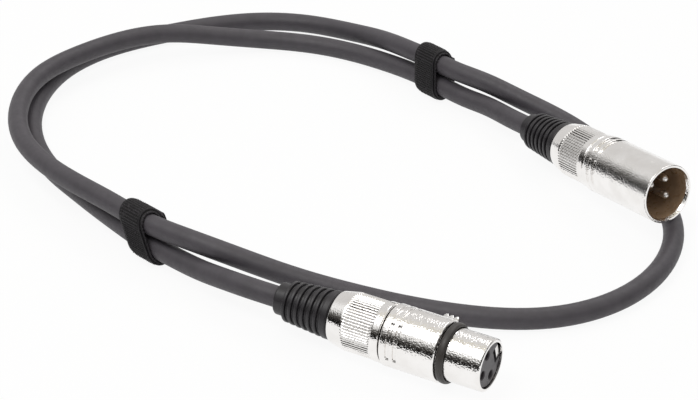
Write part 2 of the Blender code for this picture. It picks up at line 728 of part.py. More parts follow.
def polar(point):
    """Angle in degrees, radius and height of a point about the coil's centre, in millimetres."""
    offset = (point - COIL_CENTRE) / MM
    return math.degrees(math.atan2(offset.y, offset.x)), math.hypot(offset.x, offset.y), offset.z


def lead_stations(frame):
    """Places on a connector's axis, from inside its boot to the end of the straight lead."""
    heights = (boot_rear() + LEAD, boot_rear(), boot_rear() - LEAD / 2, boot_rear() - LEAD)
    return [polar(on_axis(frame, height)) for height in heights]


def coil_route():
    """The cable's radius and height as functions of the angle, straight where it meets the boots."""
    male = lead_stations(MALE)
    female = [(angle % 360 + 360, radius, height) for angle, radius, height in lead_stations(FEMALE)]
    stations = male + list(COIL_STATIONS) + female[::-1]
    angles = [station[0] for station in stations]
    radius_at = natural_spline(angles, [station[1] for station in stations])
    height_at = natural_spline(angles, [station[2] for station in stations])

    def at(angle):
        x, y = on_circle(radius_at(angle), angle)
        return COIL_CENTRE + Vector((x, y, height_at(angle))) * MM

    return at, female[-1][0]


def cable_points(route, last_angle, end_height):
    """The cable's middle line from the plug to the socket, ending at a height on both axes."""
    points = [on_axis(MALE, end_height), on_axis(MALE, boot_rear()), on_axis(MALE, boot_rear() - LEAD)]
    angle = COIL_FIRST_SAMPLE
    while angle < last_angle:
        points.append(route(angle))
        angle += 360 / LOOP_POINTS
    points += [on_axis(FEMALE, boot_rear() - LEAD), on_axis(FEMALE, boot_rear()), on_axis(FEMALE, end_height)]
    return points


def side_of(points, i):
    """The level direction square to the cable at one of its points."""
    before = points[max(i - 1, 0)]
    after = points[min(i + 1, len(points) - 1)]
    return (after - before).cross(Vector((0.0, 0.0, 1.0))).normalized()


def least_gap(points):
    """The least gap of the cable to itself, between points more than a quarter loop apart."""
    fine = []
    for first, second in zip(points, points[1:]):
        fine += [np.array(first.lerp(second, i / 8)) for i in range(8)]
    fine = np.array(fine)
    spread = np.linalg.norm(fine[:, None] - fine[None, :], axis=2)
    apart = np.abs(np.subtract.outer(np.arange(len(fine)), np.arange(len(fine)))) > 8 * LOOP_POINTS / 4
    return spread[apart].min() - 2 * CABLE_RADIUS


def local_point(frame, radius, degrees, height):
    return frame.matrix_world @ Vector((*on_circle(radius, degrees), height))


def make_cable():
    route, last_angle = coil_route()
    middle = cable_points(route, last_angle, CHUCK_FRONT)
    length = sum((after - before).length for before, after in zip(middle, middle[1:]))
    print(f"cable: {length:.3f} m, least gap to itself {least_gap(middle) / MM:.2f} mm")
    jacket = tube("cable_jacket", middle, CABLE_RADIUS, JACKET_WALL)
    finish(jacket, None, material("jacket_grey", (0.075, 0.07, 0.078), 0.55))

    shield_radius = CABLE_RADIUS - JACKET_WALL - FIT
    shield_points = cable_points(route, last_angle, CHUCK_FRONT + SHIELD_SHOWN)
    shield = tube("cable_shield", shield_points, shield_radius, SHIELD_WALL)
    finish(shield, None, material("shield_copper", (0.6, 0.3, 0.16), 0.4, 1.0))

    core_colours = {"hot_conductor": (0.5, 0.02, 0.02), "cold_conductor": (0.6, 0.6, 0.58)}
    ends = {"hot_conductor": (-1, 2), "cold_conductor": (1, 3)}
    core_points = cable_points(route, last_angle, CHUCK_FRONT + 2 * SHIELD_SHOWN)
    contacts = contact_places()
    for name, (hand, number) in ends.items():
        offset = [point + side_of(core_points, i) * hand * CORE_OFFSET for i, point in enumerate(core_points)]
        at_male = [
            local_point(MALE, CONTACT_CIRCLE_RADIUS, contacts[number], male_cup_rear() + rise)
            for rise in (WIRE_IN_CUP, -FIT)
        ]
        at_female = [
            local_point(FEMALE, CONTACT_CIRCLE_RADIUS, -contacts[number], female_cup_rear() + rise)
            for rise in (-FIT, WIRE_IN_CUP)
        ]
        points = at_male + offset + at_female
        radii = [1.0] * len(points)
        for i in (0, 1, -2, -1):
            radii[i] = STRIPPED_SHARE
        core = tube(name, points, CORE_RADIUS, radii=radii)
        finish(core, None, material(f"{name}_insulation", core_colours[name], 0.5))


def make_pigtail(side, frame, contact_angle, start_angle, cup_rear):
    """The twisted screen wires from the shield's end to contact 1."""
    shield_middle = CABLE_RADIUS - JACKET_WALL - FIT - SHIELD_WALL / 2
    start = CHUCK_FRONT + SHIELD_SHOWN + FIT
    points = [
        local_point(frame, shield_middle, start_angle, start),
        local_point(frame, shield_middle, start_angle, start + SHIELD_SHOWN),
        local_point(frame, CONTACT_CIRCLE_RADIUS, contact_angle, cup_rear - FIT),
        local_point(frame, CONTACT_CIRCLE_RADIUS, contact_angle, cup_rear + WIRE_IN_CUP),
    ]
    pigtail = tube(f"{side}_screen_tail", points, PIGTAIL_RADIUS)
    finish(pigtail, None, material(f"{side}_screen_tail_copper", (0.6, 0.3, 0.16), 0.4, 1.0))


def racetrack(radius, half, lap_radius=None):
    """An outline with two round ends about (0, half) and (0, -half), thicker along the lap."""
    ring = []
    for i in range(2 * TIE_ARC_STEPS + 2):
        bottom = i > TIE_ARC_STEPS
        angle = 180.0 * (i - bottom) / TIE_ARC_STEPS
        inside = lap_radius is not None and TIE_LAP[0] <= angle <= TIE_LAP[1] and not bottom
        x, y = on_circle(lap_radius if inside else radius, angle)
        ring.append((x, y - half if bottom else y + half))
    return ring


def make_tie(name, angle, lean, route):
    """A strap round the two passes of the cable at one place of the coil, lapped on its +Y side."""
    half_step = 180 / LOOP_POINTS
    low = [route(angle - half_step), route(angle + half_step)]
    high = [route(angle + 360 - half_step), route(angle + 360 + half_step)]
    along = (low[1] - low[0] + high[1] - high[0]).normalized()
    centres = [(pair[0] + pair[1]) / 2 for pair in (low, high)]
    across = centres[1] - centres[0]
    across -= along * across.dot(along)
    if across.z < 0:
        across = -across
    half = across.length / 2
    up = across.normalized()
    out = up.cross(along)
    if out.y < 0:
        out, along = -out, -along
    middle = (centres[0] + centres[1]) / 2
    inner = CABLE_RADIUS + TIE_SLACK
    outer = inner + TIE_THICKNESS
    curve = bpy.data.curves.new(name, "CURVE")
    curve.dimensions = "2D"
    curve.fill_mode = "BOTH"
    curve.extrude = TIE_WIDTH / 2
    for ring in (racetrack(outer, half, outer + TIE_THICKNESS), racetrack(inner, half)):
        spline = curve.splines.new("POLY")
        spline.points.add(len(ring) - 1)
        spline.use_cyclic_u = True
        for i, point in enumerate(ring):
            spline.points[i].co = (*point, 0.0, 1.0)
    tie = bpy.data.objects.new(name, meshed(bpy.data.objects.new(name + "_outline", curve)))
    leaning = Matrix.Identity(4)
    leaning[2][1] = -lean
    tie.data.transform(leaning)
    tie.matrix_world = Matrix((
        (out.x, up.x, along.x, middle.x),
        (out.y, up.y, along.y, middle.y),
        (out.z, up.z, along.z, middle.z),
        (0.0, 0.0, 0.0, 1.0),
    ))
    print(f"{name}: lowest point {(middle.z - half * up.z - outer) / MM:.2f} mm")
    finish(tie, None, material(f"{name}_fabric", (0.012, 0.012, 0.013), 0.9))


def main():
    make_male_shell()
    make_male_insert()
    make_male_pins()
    make_female_shell()
    make_female_insert()
    make_female_sockets()
    make_latch()
    make_latch_pin()
    make_latch_spring()
    make_seal_ring()
    for side, frame in (("male", MALE), ("female", FEMALE)):
        make_chuck(side, frame)
        make_bushing(side, frame)
        make_boot(side, frame)
    make_cable()
    make_pigtail("male", MALE, contact_places()[1], 90.0, male_cup_rear())
    make_pigtail("female", FEMALE, -contact_places()[1], -90.0, female_cup_rear())
    route, last_angle = coil_route()
    for name, angle, lean in zip(("front_tie", "rear_tie"), TIE_ANGLES, TIE_LEANS):
        make_tie(name, angle, lean, route)


main()
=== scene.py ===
"""The looks of a coiled microphone cable: its camera, cable, plug, socket, two ties, floor and light."""

import math

import bmesh
import bpy
import numpy as np
from mathutils import Matrix, Vector


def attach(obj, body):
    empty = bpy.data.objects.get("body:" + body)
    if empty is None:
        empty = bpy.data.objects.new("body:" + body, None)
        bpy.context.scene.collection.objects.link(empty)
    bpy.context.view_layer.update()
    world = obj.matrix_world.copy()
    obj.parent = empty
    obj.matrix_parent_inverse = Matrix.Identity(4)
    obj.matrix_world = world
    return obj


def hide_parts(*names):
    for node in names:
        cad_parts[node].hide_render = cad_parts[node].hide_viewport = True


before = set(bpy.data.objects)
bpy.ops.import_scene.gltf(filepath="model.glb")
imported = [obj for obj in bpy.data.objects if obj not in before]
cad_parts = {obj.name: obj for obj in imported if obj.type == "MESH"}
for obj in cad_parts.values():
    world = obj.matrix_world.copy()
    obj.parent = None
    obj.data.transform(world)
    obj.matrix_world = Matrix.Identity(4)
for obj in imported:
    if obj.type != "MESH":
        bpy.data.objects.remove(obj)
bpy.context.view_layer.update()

MM = 0.001

# Picture and camera
PICTURE_WIDTH = 698
FOCAL_PIXELS = 2350.0
SENSOR = 36.0
CAMERA_TARGET = Vector((3.8, -5.8, 0.0)) * MM
CAMERA_ELEVATION = 31.0
CAMERA_DISTANCE = 752.1 * MM
CAMERA_CLIP = (0.01, 20.0)

# Clearances
FIT = 0.3 * MM
SMALL_FIT = 0.25 * MM

# Cable
CABLE_RADIUS = 3.25 * MM
JACKET_WALL = 0.9 * MM
SHIELD_WALL = 0.3 * MM
CORE_RADIUS = 0.55 * MM
CORE_OFFSET = 0.75 * MM
STRIPPED_SHARE = 0.7
LEAD = 8.5 * MM
LEAD_POINTS = 12
ROUTE_STEP = 1.5

# Coil, seen from above: angle in degrees, radius and height of the cable's middle in millimetres
COIL_CENTRE = Vector((0.8, 18.2, 0.0)) * MM
COIL_STATIONS = (
    (29, 56.6, 6.1), (38, 55.0, 5.5), (46, 54.8, 5.4), (60, 57.7, 5.3), (77, 65.8, 4.0), (98, 79.1, 3.4),
    (110, 85.3, 4.4), (121, 90.7, 7.2), (130, 97, 9.6), (139, 102.5, 10.3), (148, 107, 10.3),
    (158, 110.3, 10.5), (168, 109.4, 9.9), (182, 102.6, 9.8), (192, 95.4, 10.5), (201, 89.6, 11.5),
    (212, 84.6, 12.3), (225, 82.7, 12.6), (236, 81.7, 12.6), (247, 80.6, 10.6), (256, 80.3, 7.8),
    (265, 81.9, 5.5), (275, 86.2, 3.7), (290, 100.7, 3.3), (302, 113.9, 3.3), (315, 120.4, 3.3),
    (329, 118.0, 3.3), (341, 109.2, 3.3), (355, 92.2, 3.6), (368, 80.5, 5.4), (383, 66.3, 9.3),
    (393, 60.3, 11.5), (405, 56.6, 12.5), (418, 58.4, 12.5), (430, 63.9, 11.6), (440, 74.4, 8.4),
    (448, 84.2, 5.5), (457, 94.5, 3.6), (468, 101.2, 3.3), (485, 106.6, 3.3), (499, 112, 3.3),
    (508, 112.9, 3.3), (519, 110, 3.3), (530, 104.6, 3.3), (546, 94, 3.4), (556, 87.8, 4.2),
    (565, 84.4, 4.9), (575, 82.6, 5.3), (585, 82.6, 5.4), (593, 83.4, 5.5), (602, 86.5, 6.6),
    (608, 89.9, 8.2),
)

# Connector places: middle of the mating rim from the coil's centre, heading and tilt of the axis in
# degrees (heading from +X towards -Y), and the turn of the key side about the axis
MALE_RIM = Vector((101.1, -47.8, 16.3)) * MM
MALE_HEADING = 55.5
MALE_TILT = 6.5
MALE_KEY_ANGLE = 228.0
FEMALE_RIM = Vector((42.7, -129.6, 9.4)) * MM
FEMALE_HEADING = 30.0
FEMALE_TILT = 0.0
FEMALE_KEY_ANGLE = 17.0

# Bushing and boot, the same on both connectors
RING_RADIUS = 9.0 * MM
RING_LENGTH = 2.8 * MM
KNURL_RADIUS = 8.75 * MM
KNURL_LENGTH = 9.7 * MM
KNURL_FLUTES = 60
KNURL_SAMPLES = 8
FLUTE_DEPTH = 0.3 * MM
FLUTE_SHARE = 0.55
FLUTE_ROUNDNESS = 0.7
FLUTE_END = 0.9 * MM
FLUTE_END_STEPS = 6
SHOULDER_LENGTH = 5.3 * MM
SHOULDER_RADIUS = 7.4 * MM
EDGE = 0.4 * MM
BUSHING_LENGTH = RING_LENGTH + KNURL_LENGTH + SHOULDER_LENGTH
BOOT_LENGTH = 19.3 * MM
BOOT_RADIUS = 7.3 * MM
BOOT_BAND = 2.3 * MM
BOOT_RIBS = 6
BOOT_RIB_END_RADIUS = 6.25 * MM
BOOT_GROOVE = 1.15 * MM
BOOT_GROOVE_DEPTH = 1.1 * MM
BOOT_SOFT_EDGE = 0.45 * MM
COLLAR_LENGTH = 3.8 * MM
COLLAR_RADIUS = 4.9 * MM
NECK_RADIUS = 5.6 * MM
NECK_LENGTH = 3.6 * MM

# Spigot, chuck and the seam seen between shell and bushing
SEAM_GAPS = {"male": 0.42 * MM, "female": 0.5 * MM}
SPIGOT_RADIUS = 8.1 * MM
SPIGOT_LENGTH = 2.6 * MM
THREAD_PITCH = 1.5 * MM
THREAD_DEPTH = 0.4 * MM
THREAD_SPAN = (0.1, 0.94)
THREAD_RINGS = 18
REAR_BORE_RADIUS = 7.2 * MM
CHUCK_FRONT = -5.2 * MM
CHUCK_LENGTH = 7.6 * MM
SHIELD_SHOWN = 1.0 * MM

# Grooves round both shells, measured from the bushing's seam, and the lands that bridge them
GROOVE_PLACES = (2.8 * MM, 5.2 * MM)
GROOVE_WIDTH = 1.2 * MM
GROOVE_DEPTH = 0.55 * MM
LAND_WIDTH = 2.5 * MM
LAND_SLOPE = 0.35 * MM
LAND_COUNT = 4
MALE_FIRST_LAND = 0.0
FEMALE_FIRST_LAND = 8.0

# Contacts
CONTACT_ANGLES = {1: 90.0, 2: -90.0, 3: 180.0}
CONTACT_CIRCLE_RADIUS = 4.1 * MM
PIN_RADIUS = 1.2 * MM
PIN_RECESS = 3.5 * MM
PIN_CROWN_STEPS = 8
CUP_RADIUS = 1.35 * MM
CUP_BORE_RADIUS = 0.9 * MM
CUP_DEPTH = 2.6 * MM
CUP_LENGTH = 4.0 * MM
WIRE_IN_CUP = 1.6 * MM

# Male shell and insert
MALE_RADIUS = 9.5 * MM
MALE_LENGTH = 30.2 * MM
CAVITY_RADIUS = 8.2 * MM
CAVITY_DEPTH = 16.5 * MM
MOUTH_CHAMFER = 0.5 * MM
RIM_CHAMFER = 0.2 * MM
MALE_INSERT_LENGTH = 8.5 * MM
CATCH_WIDTH = 4.6 * MM
CATCH_LENGTH = 4.0 * MM
CATCH_DEPTH = 0.7 * MM
CATCH_FROM_RIM = 4.0 * MM
PIN_BOSS_RADIUS = 2.0 * MM
PIN_BOSS_DEPTH = 0.5 * MM

# Female shell, insert and ring
FEMALE_LENGTH = 31.3 * MM
BODY_RADIUS = 9.3 * MM
BODY_LENGTH = 17.6 * MM
NOSE_RADIUS = 7.85 * MM
NOSE_WALL = 1.0 * MM
NOSE_CHAMFER = 0.4 * MM
SEAT_HEIGHT = 19.7 * MM
FACE_RECESS = 0.6 * MM
FEMALE_INSERT_REAR = 3.5 * MM
SEAL_LENGTH = 2.3 * MM
SEAL_ARC_STEPS = 16
SEAL_BULGE = 0.6
SEAL_RADIUS = 9.0 * MM
SOCKET_RADIUS = 1.6 * MM
FACE_LIP = 1.2 * MM
FACE_HOLE_RADIUS = 1.35 * MM
FACE_HOLE_CHAMFER = 0.25 * MM

# Latch of the female connector, in the plane of its key side
LATCH_WIDTH = 4.0 * MM
LATCH_THICKNESS = 1.6 * MM
LATCH_INNER = 4.6 * MM
LATCH_PIVOT_RADIUS = 5.2 * MM
LATCH_PIVOT_HEIGHT = 6.0 * MM
LATCH_EYE_RADIUS = 1.3 * MM
LATCH_PIN_RADIUS = 0.6 * MM
LATCH_PIN_LENGTH = 8.0 * MM
LATCH_TIP_GAP = 0.2 * MM
LATCH_SWING_ROOM = 1.6 * MM
LATCH_BEVEL = 0.12 * MM
TOOTH_LENGTH = 2.4 * MM
TOOTH_FROM_FACE = 4.0 * MM
TOOTH_PROUD = 0.65 * MM
TOOTH_WIDTH = 3.2 * MM
BUTTON_LENGTH = 5.0 * MM
BUTTON_WIDTH = 6.0 * MM
BUTTON_INNER = 7.7 * MM
BUTTON_PROUD = 1.2 * MM
BUTTON_RIDGES = 3
RIDGE_FOOT = 0.1
RIDGE_CREST = 0.35
WINDOW_ROOM = 0.45 * MM
SPRING_RADIUS = 1.1 * MM
SPRING_WIRE = 0.2 * MM
SPRING_SEAT = 1.1 * MM
SPRING_HEIGHT = 14.2 * MM

# Ties
TIE_WIDTH = 9.0 * MM
TIE_STRAP = 0.8 * MM
TIE_SLACK = 0.8 * MM
TIE_LAYER = 1.1 * MM
TIE_LAP = (-80.0, 15.0)
TIE_CLIMB = 6.0 * MM
TIE_HEM = 0.4 * MM
TIE_ANGLES = {"front_tie": 224.3, "rear_tie": 55.8}
TIE_LEANS = {"front_tie": 0.4, "rear_tie": 0.2}
HOOK_PITCH = 0.72 * MM
HOOK_HEIGHT = 0.42 * MM
HOOK_SHARPNESS = 1.5
HOOK_BASE = 0.3
HOOK_RANGE = (0.6, 1.0)
HOOK_SAMPLES = 4
HOOK_SEED = 11
PILE_DEPTH = 0.5 * MM
PILE_EDGE_SHARE = 0.7
PILE_OVERHANG = 0.8 * MM
PILE_COLUMNS = 6
FRAY_RANGE = (0.5, 1.0)

# Meshes: facets, welding, and how edges and corners are shaded, bevelled and rounded
ROUND = 144
SMALL_ROUND = 32
TUBE_RESOLUTION = 14
WELD_DISTANCE = 0.0005 * MM
SHARP_ANGLE = math.radians(40)
BEVEL_ANGLE = math.radians(50)
SOFT_EDGE = 0.16 * MM
CORNER_SHARE = 0.3
CORNER_GUARD = 1.5
CORNER_STEPS = 3

# Floor and light
FLOOR_SIZE = 6.0
FLOOR_COLOUR = (0.88, 0.88, 0.88, 1.0)
FLOOR_GLOW = 0.92
LAMP_SIZE = 0.5
LAMPS = {"key_lamp": ((-0.35, -0.25, 0.9), 3.0), "back_lamp": ((0.3, 0.6, 0.8), 1.5)}
HORIZON_STOPS = (
    (0.0, (0.004, 0.004, 0.004)), (0.22, (0.014, 0.013, 0.012)), (0.44, (0.10, 0.095, 0.088)),
    (0.65, (1.0, 1.0, 0.99)), (0.84, (1.0, 1.0, 1.0)), (0.95, (0.66, 0.62, 0.52)),
)
BACKDROP_SIDES = (0.25, 0.55)
BACKDROP_COLOUR = (0.72, 0.71, 0.70, 1.0)
WHITE = (1.0, 1.0, 1.0, 1.0)

scene = bpy.context.scene
scene.view_settings.view_transform = "Standard"


def make_camera():
    data = bpy.data.cameras.new("camera")
    data.sensor_width = SENSOR
    data.lens = SENSOR * FOCAL_PIXELS / PICTURE_WIDTH
    data.clip_start, data.clip_end = CAMERA_CLIP
    camera = bpy.data.objects.new("camera", data)
    scene.collection.objects.link(camera)
    rise = math.radians(CAMERA_ELEVATION)
    back = Vector((0.0, -math.cos(rise), math.sin(rise)))
    camera.location = CAMERA_TARGET + back * CAMERA_DISTANCE
    camera.rotation_mode = "QUATERNION"
    camera.rotation_quaternion = (-back).to_track_quat("-Z", "Y")
    scene.camera = camera


make_camera()


# Materials

class Surface:
    """A material with a Principled shader and helpers for the nodes that feed it."""

    def __init__(self, name, metallic=0.0):
        self.material = bpy.data.materials.new(name)
        self.material.use_nodes = True
        self.tree = self.material.node_tree
        self.shader = self.tree.nodes["Principled BSDF"]
        self.shader.inputs["Metallic"].default_value = metallic
        self.where = self.tree.nodes.new("ShaderNodeTexCoord").outputs["Object"]

    def join(self, output, node_input):
        self.tree.links.new(output, node_input)

    def set(self, socket, value):
        self.shader.inputs[socket].default_value = value

    def noise(self, size, detail=4.0):
        """Noise whose features are about as large as size, in metres."""
        node = self.tree.nodes.new("ShaderNodeTexNoise")
        node.inputs["Scale"].default_value = 1.0 / size
        node.inputs["Detail"].default_value = detail
        self.join(self.where, node.inputs["Vector"])
        return node.outputs["Fac"]

    def peaks(self):
        """How far the surface stands out, from 0 in hollows to 1 on peaks."""
        node = self.tree.nodes.new("ShaderNodeMapRange")
        node.inputs["From Min"].default_value = 0.44
        node.inputs["From Max"].default_value = 0.6
        shape = self.tree.nodes.new("ShaderNodeNewGeometry")
        self.join(shape.outputs["Pointiness"], node.inputs["Value"])
        return node.outputs["Result"]

    def colour(self, factor, dark, light):
        ramp = self.tree.nodes.new("ShaderNodeValToRGB")
        ramp.color_ramp.elements[0].position = 0.35
        ramp.color_ramp.elements[0].color = (*dark, 1.0)
        ramp.color_ramp.elements[1].position = 0.65
        ramp.color_ramp.elements[1].color = (*light, 1.0)
        self.join(factor, ramp.inputs["Fac"])
        self.join(ramp.outputs["Color"], self.shader.inputs["Base Color"])

    def roughness(self, factor, low, high):
        node = self.tree.nodes.new("ShaderNodeMapRange")
        node.inputs["From Min"].default_value = 0.3
        node.inputs["From Max"].default_value = 0.7
        node.inputs["To Min"].default_value = low
        node.inputs["To Max"].default_value = high
        self.join(factor, node.inputs["Value"])
        self.join(node.outputs["Result"], self.shader.inputs["Roughness"])

    def bump(self, height, depth, strength=1.0):
        node = self.tree.nodes.new("ShaderNodeBump")
        node.inputs["Distance"].default_value = depth
        node.inputs["Strength"].default_value = strength
        self.join(height, node.inputs["Height"])
        self.join(node.outputs["Normal"], self.shader.inputs["Normal"])


def nickel(name, grain):
    """Die-cast nickel: bright, with a fine grain that breaks up its reflections."""
    surface = Surface(name, 1.0)
    surface.colour(surface.noise(6 * MM), (0.85, 0.83, 0.81), (0.92, 0.905, 0.89))
    surface.roughness(surface.noise(1.2 * MM), 0.07, 0.14)
    surface.bump(surface.noise(0.45 * MM, 0.5), grain)
    return surface.material


def polished(name, dark, light, rough=0.18):
    surface = Surface(name, 1.0)
    surface.colour(surface.noise(2 * MM), dark, light)
    surface.roughness(surface.noise(0.8 * MM), rough - 0.06, rough + 0.06)
    surface.bump(surface.noise(0.3 * MM), 0.004 * MM)
    return surface.material


def moulded(name, dark, light, rough, grain, depth):
    """Moulded plastic or rubber with a fine grain and slightly uneven gloss."""
    surface = Surface(name)
    surface.colour(surface.noise(4 * MM, 6.0), dark, light)
    surface.roughness(surface.noise(1.5 * MM), rough - 0.06, rough + 0.06)
    surface.bump(surface.noise(grain), depth)
    return surface.material


def woven(name):
    """Black hook-and-loop tape: matt nylon with a soft sheen, its hook tips painted lighter as painted
    highlights and its hollows painted darker as painted shade.
    """
    surface = Surface(name)
    # Painted highlight and shade: lighter colour on the hook tips, darker in the hollows between them
    surface.colour(surface.peaks(), (0.002, 0.0017, 0.002), (0.024, 0.021, 0.025))
    surface.roughness(surface.noise(0.6 * MM), 0.45, 0.65)
    surface.set("Specular IOR Level", 0.3)
    surface.bump(surface.noise(0.12 * MM), 0.04 * MM)
    surface.set("Sheen Weight", 0.04)
    surface.set("Sheen Roughness", 0.4)
    return surface.material


SHELL_NICKEL = nickel("shell_nickel", 0.08 * MM)
BUSHING_NICKEL = nickel("bushing_nickel", 0.045 * MM)
LATCH_STEEL = polished("latch_steel", (0.70, 0.69, 0.68), (0.80, 0.79, 0.78))
# Painted warm reflection and shade: the plug's bore is nickel, given here a dull brown, not metallic, for
# the warm tones it reflects inside the cavity
BORE_PAINTED_REFLECTION = moulded(
    "bore_painted_reflection", (0.30, 0.20, 0.125), (0.42, 0.29, 0.185), 0.3, 0.5 * MM, 0.02 * MM
)
# Near black, not metallic: painted shade on the nickel spigot, seen as the dark line in the seam between
# shell and bushing
SEAM_PAINTED_SHADE = moulded(
    "seam_painted_shade", (0.004, 0.004, 0.004), (0.010, 0.009, 0.008), 0.7, 0.3 * MM, 0.01 * MM
)
PIN_SILVER = polished("pin_silver", (0.85, 0.83, 0.80), (0.94, 0.92, 0.89), 0.32)
COPPER = polished("screen_copper", (0.55, 0.27, 0.15), (0.72, 0.38, 0.22))
JACKET = moulded(
    "cable_jacket_grey", (0.060, 0.0545, 0.063), (0.071, 0.0645, 0.0745), 0.55, 0.5 * MM, 0.01 * MM
)
BOOT_RUBBER = moulded(
    "boot_rubber", (0.016, 0.0142, 0.0168), (0.0235, 0.0208, 0.0245), 0.42, 0.35 * MM, 0.01 * MM
)
SEAL_RUBBER = moulded(
    "seal_rubber", (0.030, 0.026, 0.023), (0.044, 0.038, 0.034), 0.45, 0.3 * MM, 0.01 * MM
)
# The plug's insert is dark plastic; its brown is painted warm reflection, matching the painted bore round
# it
PLUG_INSERT_PAINTED_REFLECTION = moulded(
    "plug_insert_painted_reflection", (0.15, 0.105, 0.07), (0.20, 0.145, 0.095), 0.4, 0.3 * MM, 0.01 * MM
)
INSERT_PLASTIC = moulded(
    "insert_plastic", (0.060, 0.054, 0.060), (0.080, 0.072, 0.080), 0.42, 0.3 * MM, 0.01 * MM
)
CHUCK_PLASTIC = moulded(
    "chuck_plastic", (0.05, 0.05, 0.055), (0.07, 0.07, 0.075), 0.5, 0.4 * MM, 0.01 * MM
)
RED_INSULATION = moulded(
    "red_insulation", (0.42, 0.02, 0.02), (0.52, 0.03, 0.03), 0.4, 0.4 * MM, 0.005 * MM
)
WHITE_INSULATION = moulded(
    "white_insulation", (0.6, 0.6, 0.57), (0.7, 0.7, 0.67), 0.4, 0.4 * MM, 0.005 * MM
)
TIE_FABRIC = woven("tie_fabric")


# Meshes

def cleaned(mesh):
    """Welds a mesh, turns its faces out and shades it smooth up to its edges."""
    build = bmesh.new()
    build.from_mesh(mesh)
    bmesh.ops.remove_doubles(build, verts=build.verts, dist=WELD_DISTANCE)
    bmesh.ops.recalc_face_normals(build, faces=build.faces)
    build.to_mesh(mesh)
    build.free()
    mesh.shade_smooth()
    mesh.set_sharp_from_angle(angle=SHARP_ANGLE)
    return mesh


def lofted(name, rings, closed=False, capped=False):
    """A skin over rings of points, each ring a loop, with the last joined to the first if closed."""
    count = len(rings[0])
    faces = []
    for i in range(len(rings) if closed else len(rings) - 1):
        near = i * count
        far = (i + 1) % len(rings) * count
        for j in range(count):
            k = (j + 1) % count
            faces.append((near + j, far + j, far + k, near + k))
    if capped:
        faces.append(tuple(range(count)))
        faces.append(tuple(range((len(rings) - 1) * count, len(rings) * count)))
    mesh = bpy.data.meshes.new(name)
    mesh.from_pydata(np.concatenate(rings).tolist(), [], faces)
    return bpy.data.objects.new(name, cleaned(mesh))


def softened(profile, edge=SOFT_EDGE, closed=True):
    """A profile with small round corners and a guard point beside each."""
    points = [np.array(point, float) for point in profile]
    made = []
    for i, corner in enumerate(points):
        if not closed and i in (0, len(points) - 1):
            made.append(tuple(corner))
            continue
        before = points[i - 1] - corner
        after = points[(i + 1) % len(points)] - corner
        reach = min(edge, CORNER_SHARE * np.linalg.norm(before), CORNER_SHARE * np.linalg.norm(after))
        start = corner + before / np.linalg.norm(before) * reach
        end = corner + after / np.linalg.norm(after) * reach
        made.append(tuple(corner + (start - corner) * CORNER_GUARD))
        for step in range(CORNER_STEPS + 1):
            t = step / CORNER_STEPS
            made.append(tuple((1 - t) ** 2 * start + 2 * t * (1 - t) * corner + t ** 2 * end))
        made.append(tuple(corner + (end - corner) * CORNER_GUARD))
    return made


def turned(name, profile, steps=ROUND, closed=True, shape=None):
    """A profile of (radius, height) points turned about Z; shape may vary the radius with the angle."""
    angles = np.arange(steps) * math.tau / steps
    rings = []
    for radius, height in profile:
        radii = np.full(steps, radius)
        if shape is not None:
            radii = shape(radii, height, angles)
        flat = np.column_stack((radii * np.cos(angles), radii * np.sin(angles)))
        rings.append(np.column_stack((flat, np.full(steps, height))))
    return lofted(name, rings, closed)


def solid_box(name, low, high):
    mesh = bpy.data.meshes.new(name)
    build = bmesh.new()
    bmesh.ops.create_cube(build, size=1.0)
    for vertex in build.verts:
        vertex.co = Vector((low[i] if vertex.co[i] < 0 else high[i] for i in range(3)))
    build.to_mesh(mesh)
    build.free()
    return bpy.data.objects.new(name, mesh)


def solid_rod(name, radius, start, end, steps=SMALL_ROUND):
    start = Vector(start)
    end = Vector(end)
    mesh = bpy.data.meshes.new(name)
    build = bmesh.new()
    turn = (end - start).to_track_quat("Z", "Y").to_matrix().to_4x4()
    bmesh.ops.create_cone(
        build, cap_ends=True, segments=steps, radius1=radius, radius2=radius, depth=(end - start).length,
        matrix=Matrix.Translation((start + end) / 2) @ turn,
    )
    build.to_mesh(mesh)
    build.free()
    return bpy.data.objects.new(name, mesh)


def carved(item, cutters, operation="DIFFERENCE", bevel=None):
    """The object with the cutters taken out of it, or joined to it, and its sharp edges bevelled."""
    name = item.name
    for thing in (item, *cutters):
        scene.collection.objects.link(thing)
    for cutter in cutters:
        boolean = item.modifiers.new(cutter.name, "BOOLEAN")
        boolean.operation = operation
        boolean.object = cutter
        boolean.solver = "EXACT"
    if bevel is not None:
        soft = item.modifiers.new("edges", "BEVEL")
        soft.width = bevel
        soft.segments = 2
        soft.limit_method = "ANGLE"
        soft.angle_limit = BEVEL_ANGLE
    mesh = bpy.data.meshes.new_from_object(item.evaluated_get(bpy.context.evaluated_depsgraph_get()))
    for thing in (item, *cutters):
        bpy.data.objects.remove(thing, do_unlink=True)
    return bpy.data.objects.new(name, cleaned(mesh))


def tube(name, points, radius, wall=None, radii=None):
    """A tube along world points, solid, or hollow when it has a wall."""
    curve = bpy.data.curves.new(name, "CURVE")
    curve.dimensions = "3D"
    curve.bevel_depth = radius
    curve.bevel_resolution = TUBE_RESOLUTION
    curve.use_fill_caps = wall is None
    spline = curve.splines.new("POLY")
    spline.points.add(len(points) - 1)
    for i, point in enumerate(points):
        spline.points[i].co = (*point, 1.0)
        spline.points[i].radius = 1.0 if radii is None else radii[i]
    item = bpy.data.objects.new(name, curve)
    if wall is not None:
        shell = item.modifiers.new("wall", "SOLIDIFY")
        shell.thickness = wall
        shell.offset = -1.0
    return item


def show(item, surface, place, body, slot, *nodes):
    """Puts a piece in the scene at its place, on its body, in place of its CAD nodes."""
    scene.collection.objects.link(item)
    if not item.data.materials:
        item.data.materials.append(surface)
    item.data.transform(place)
    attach(item, body)
    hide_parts(*nodes)
    return item


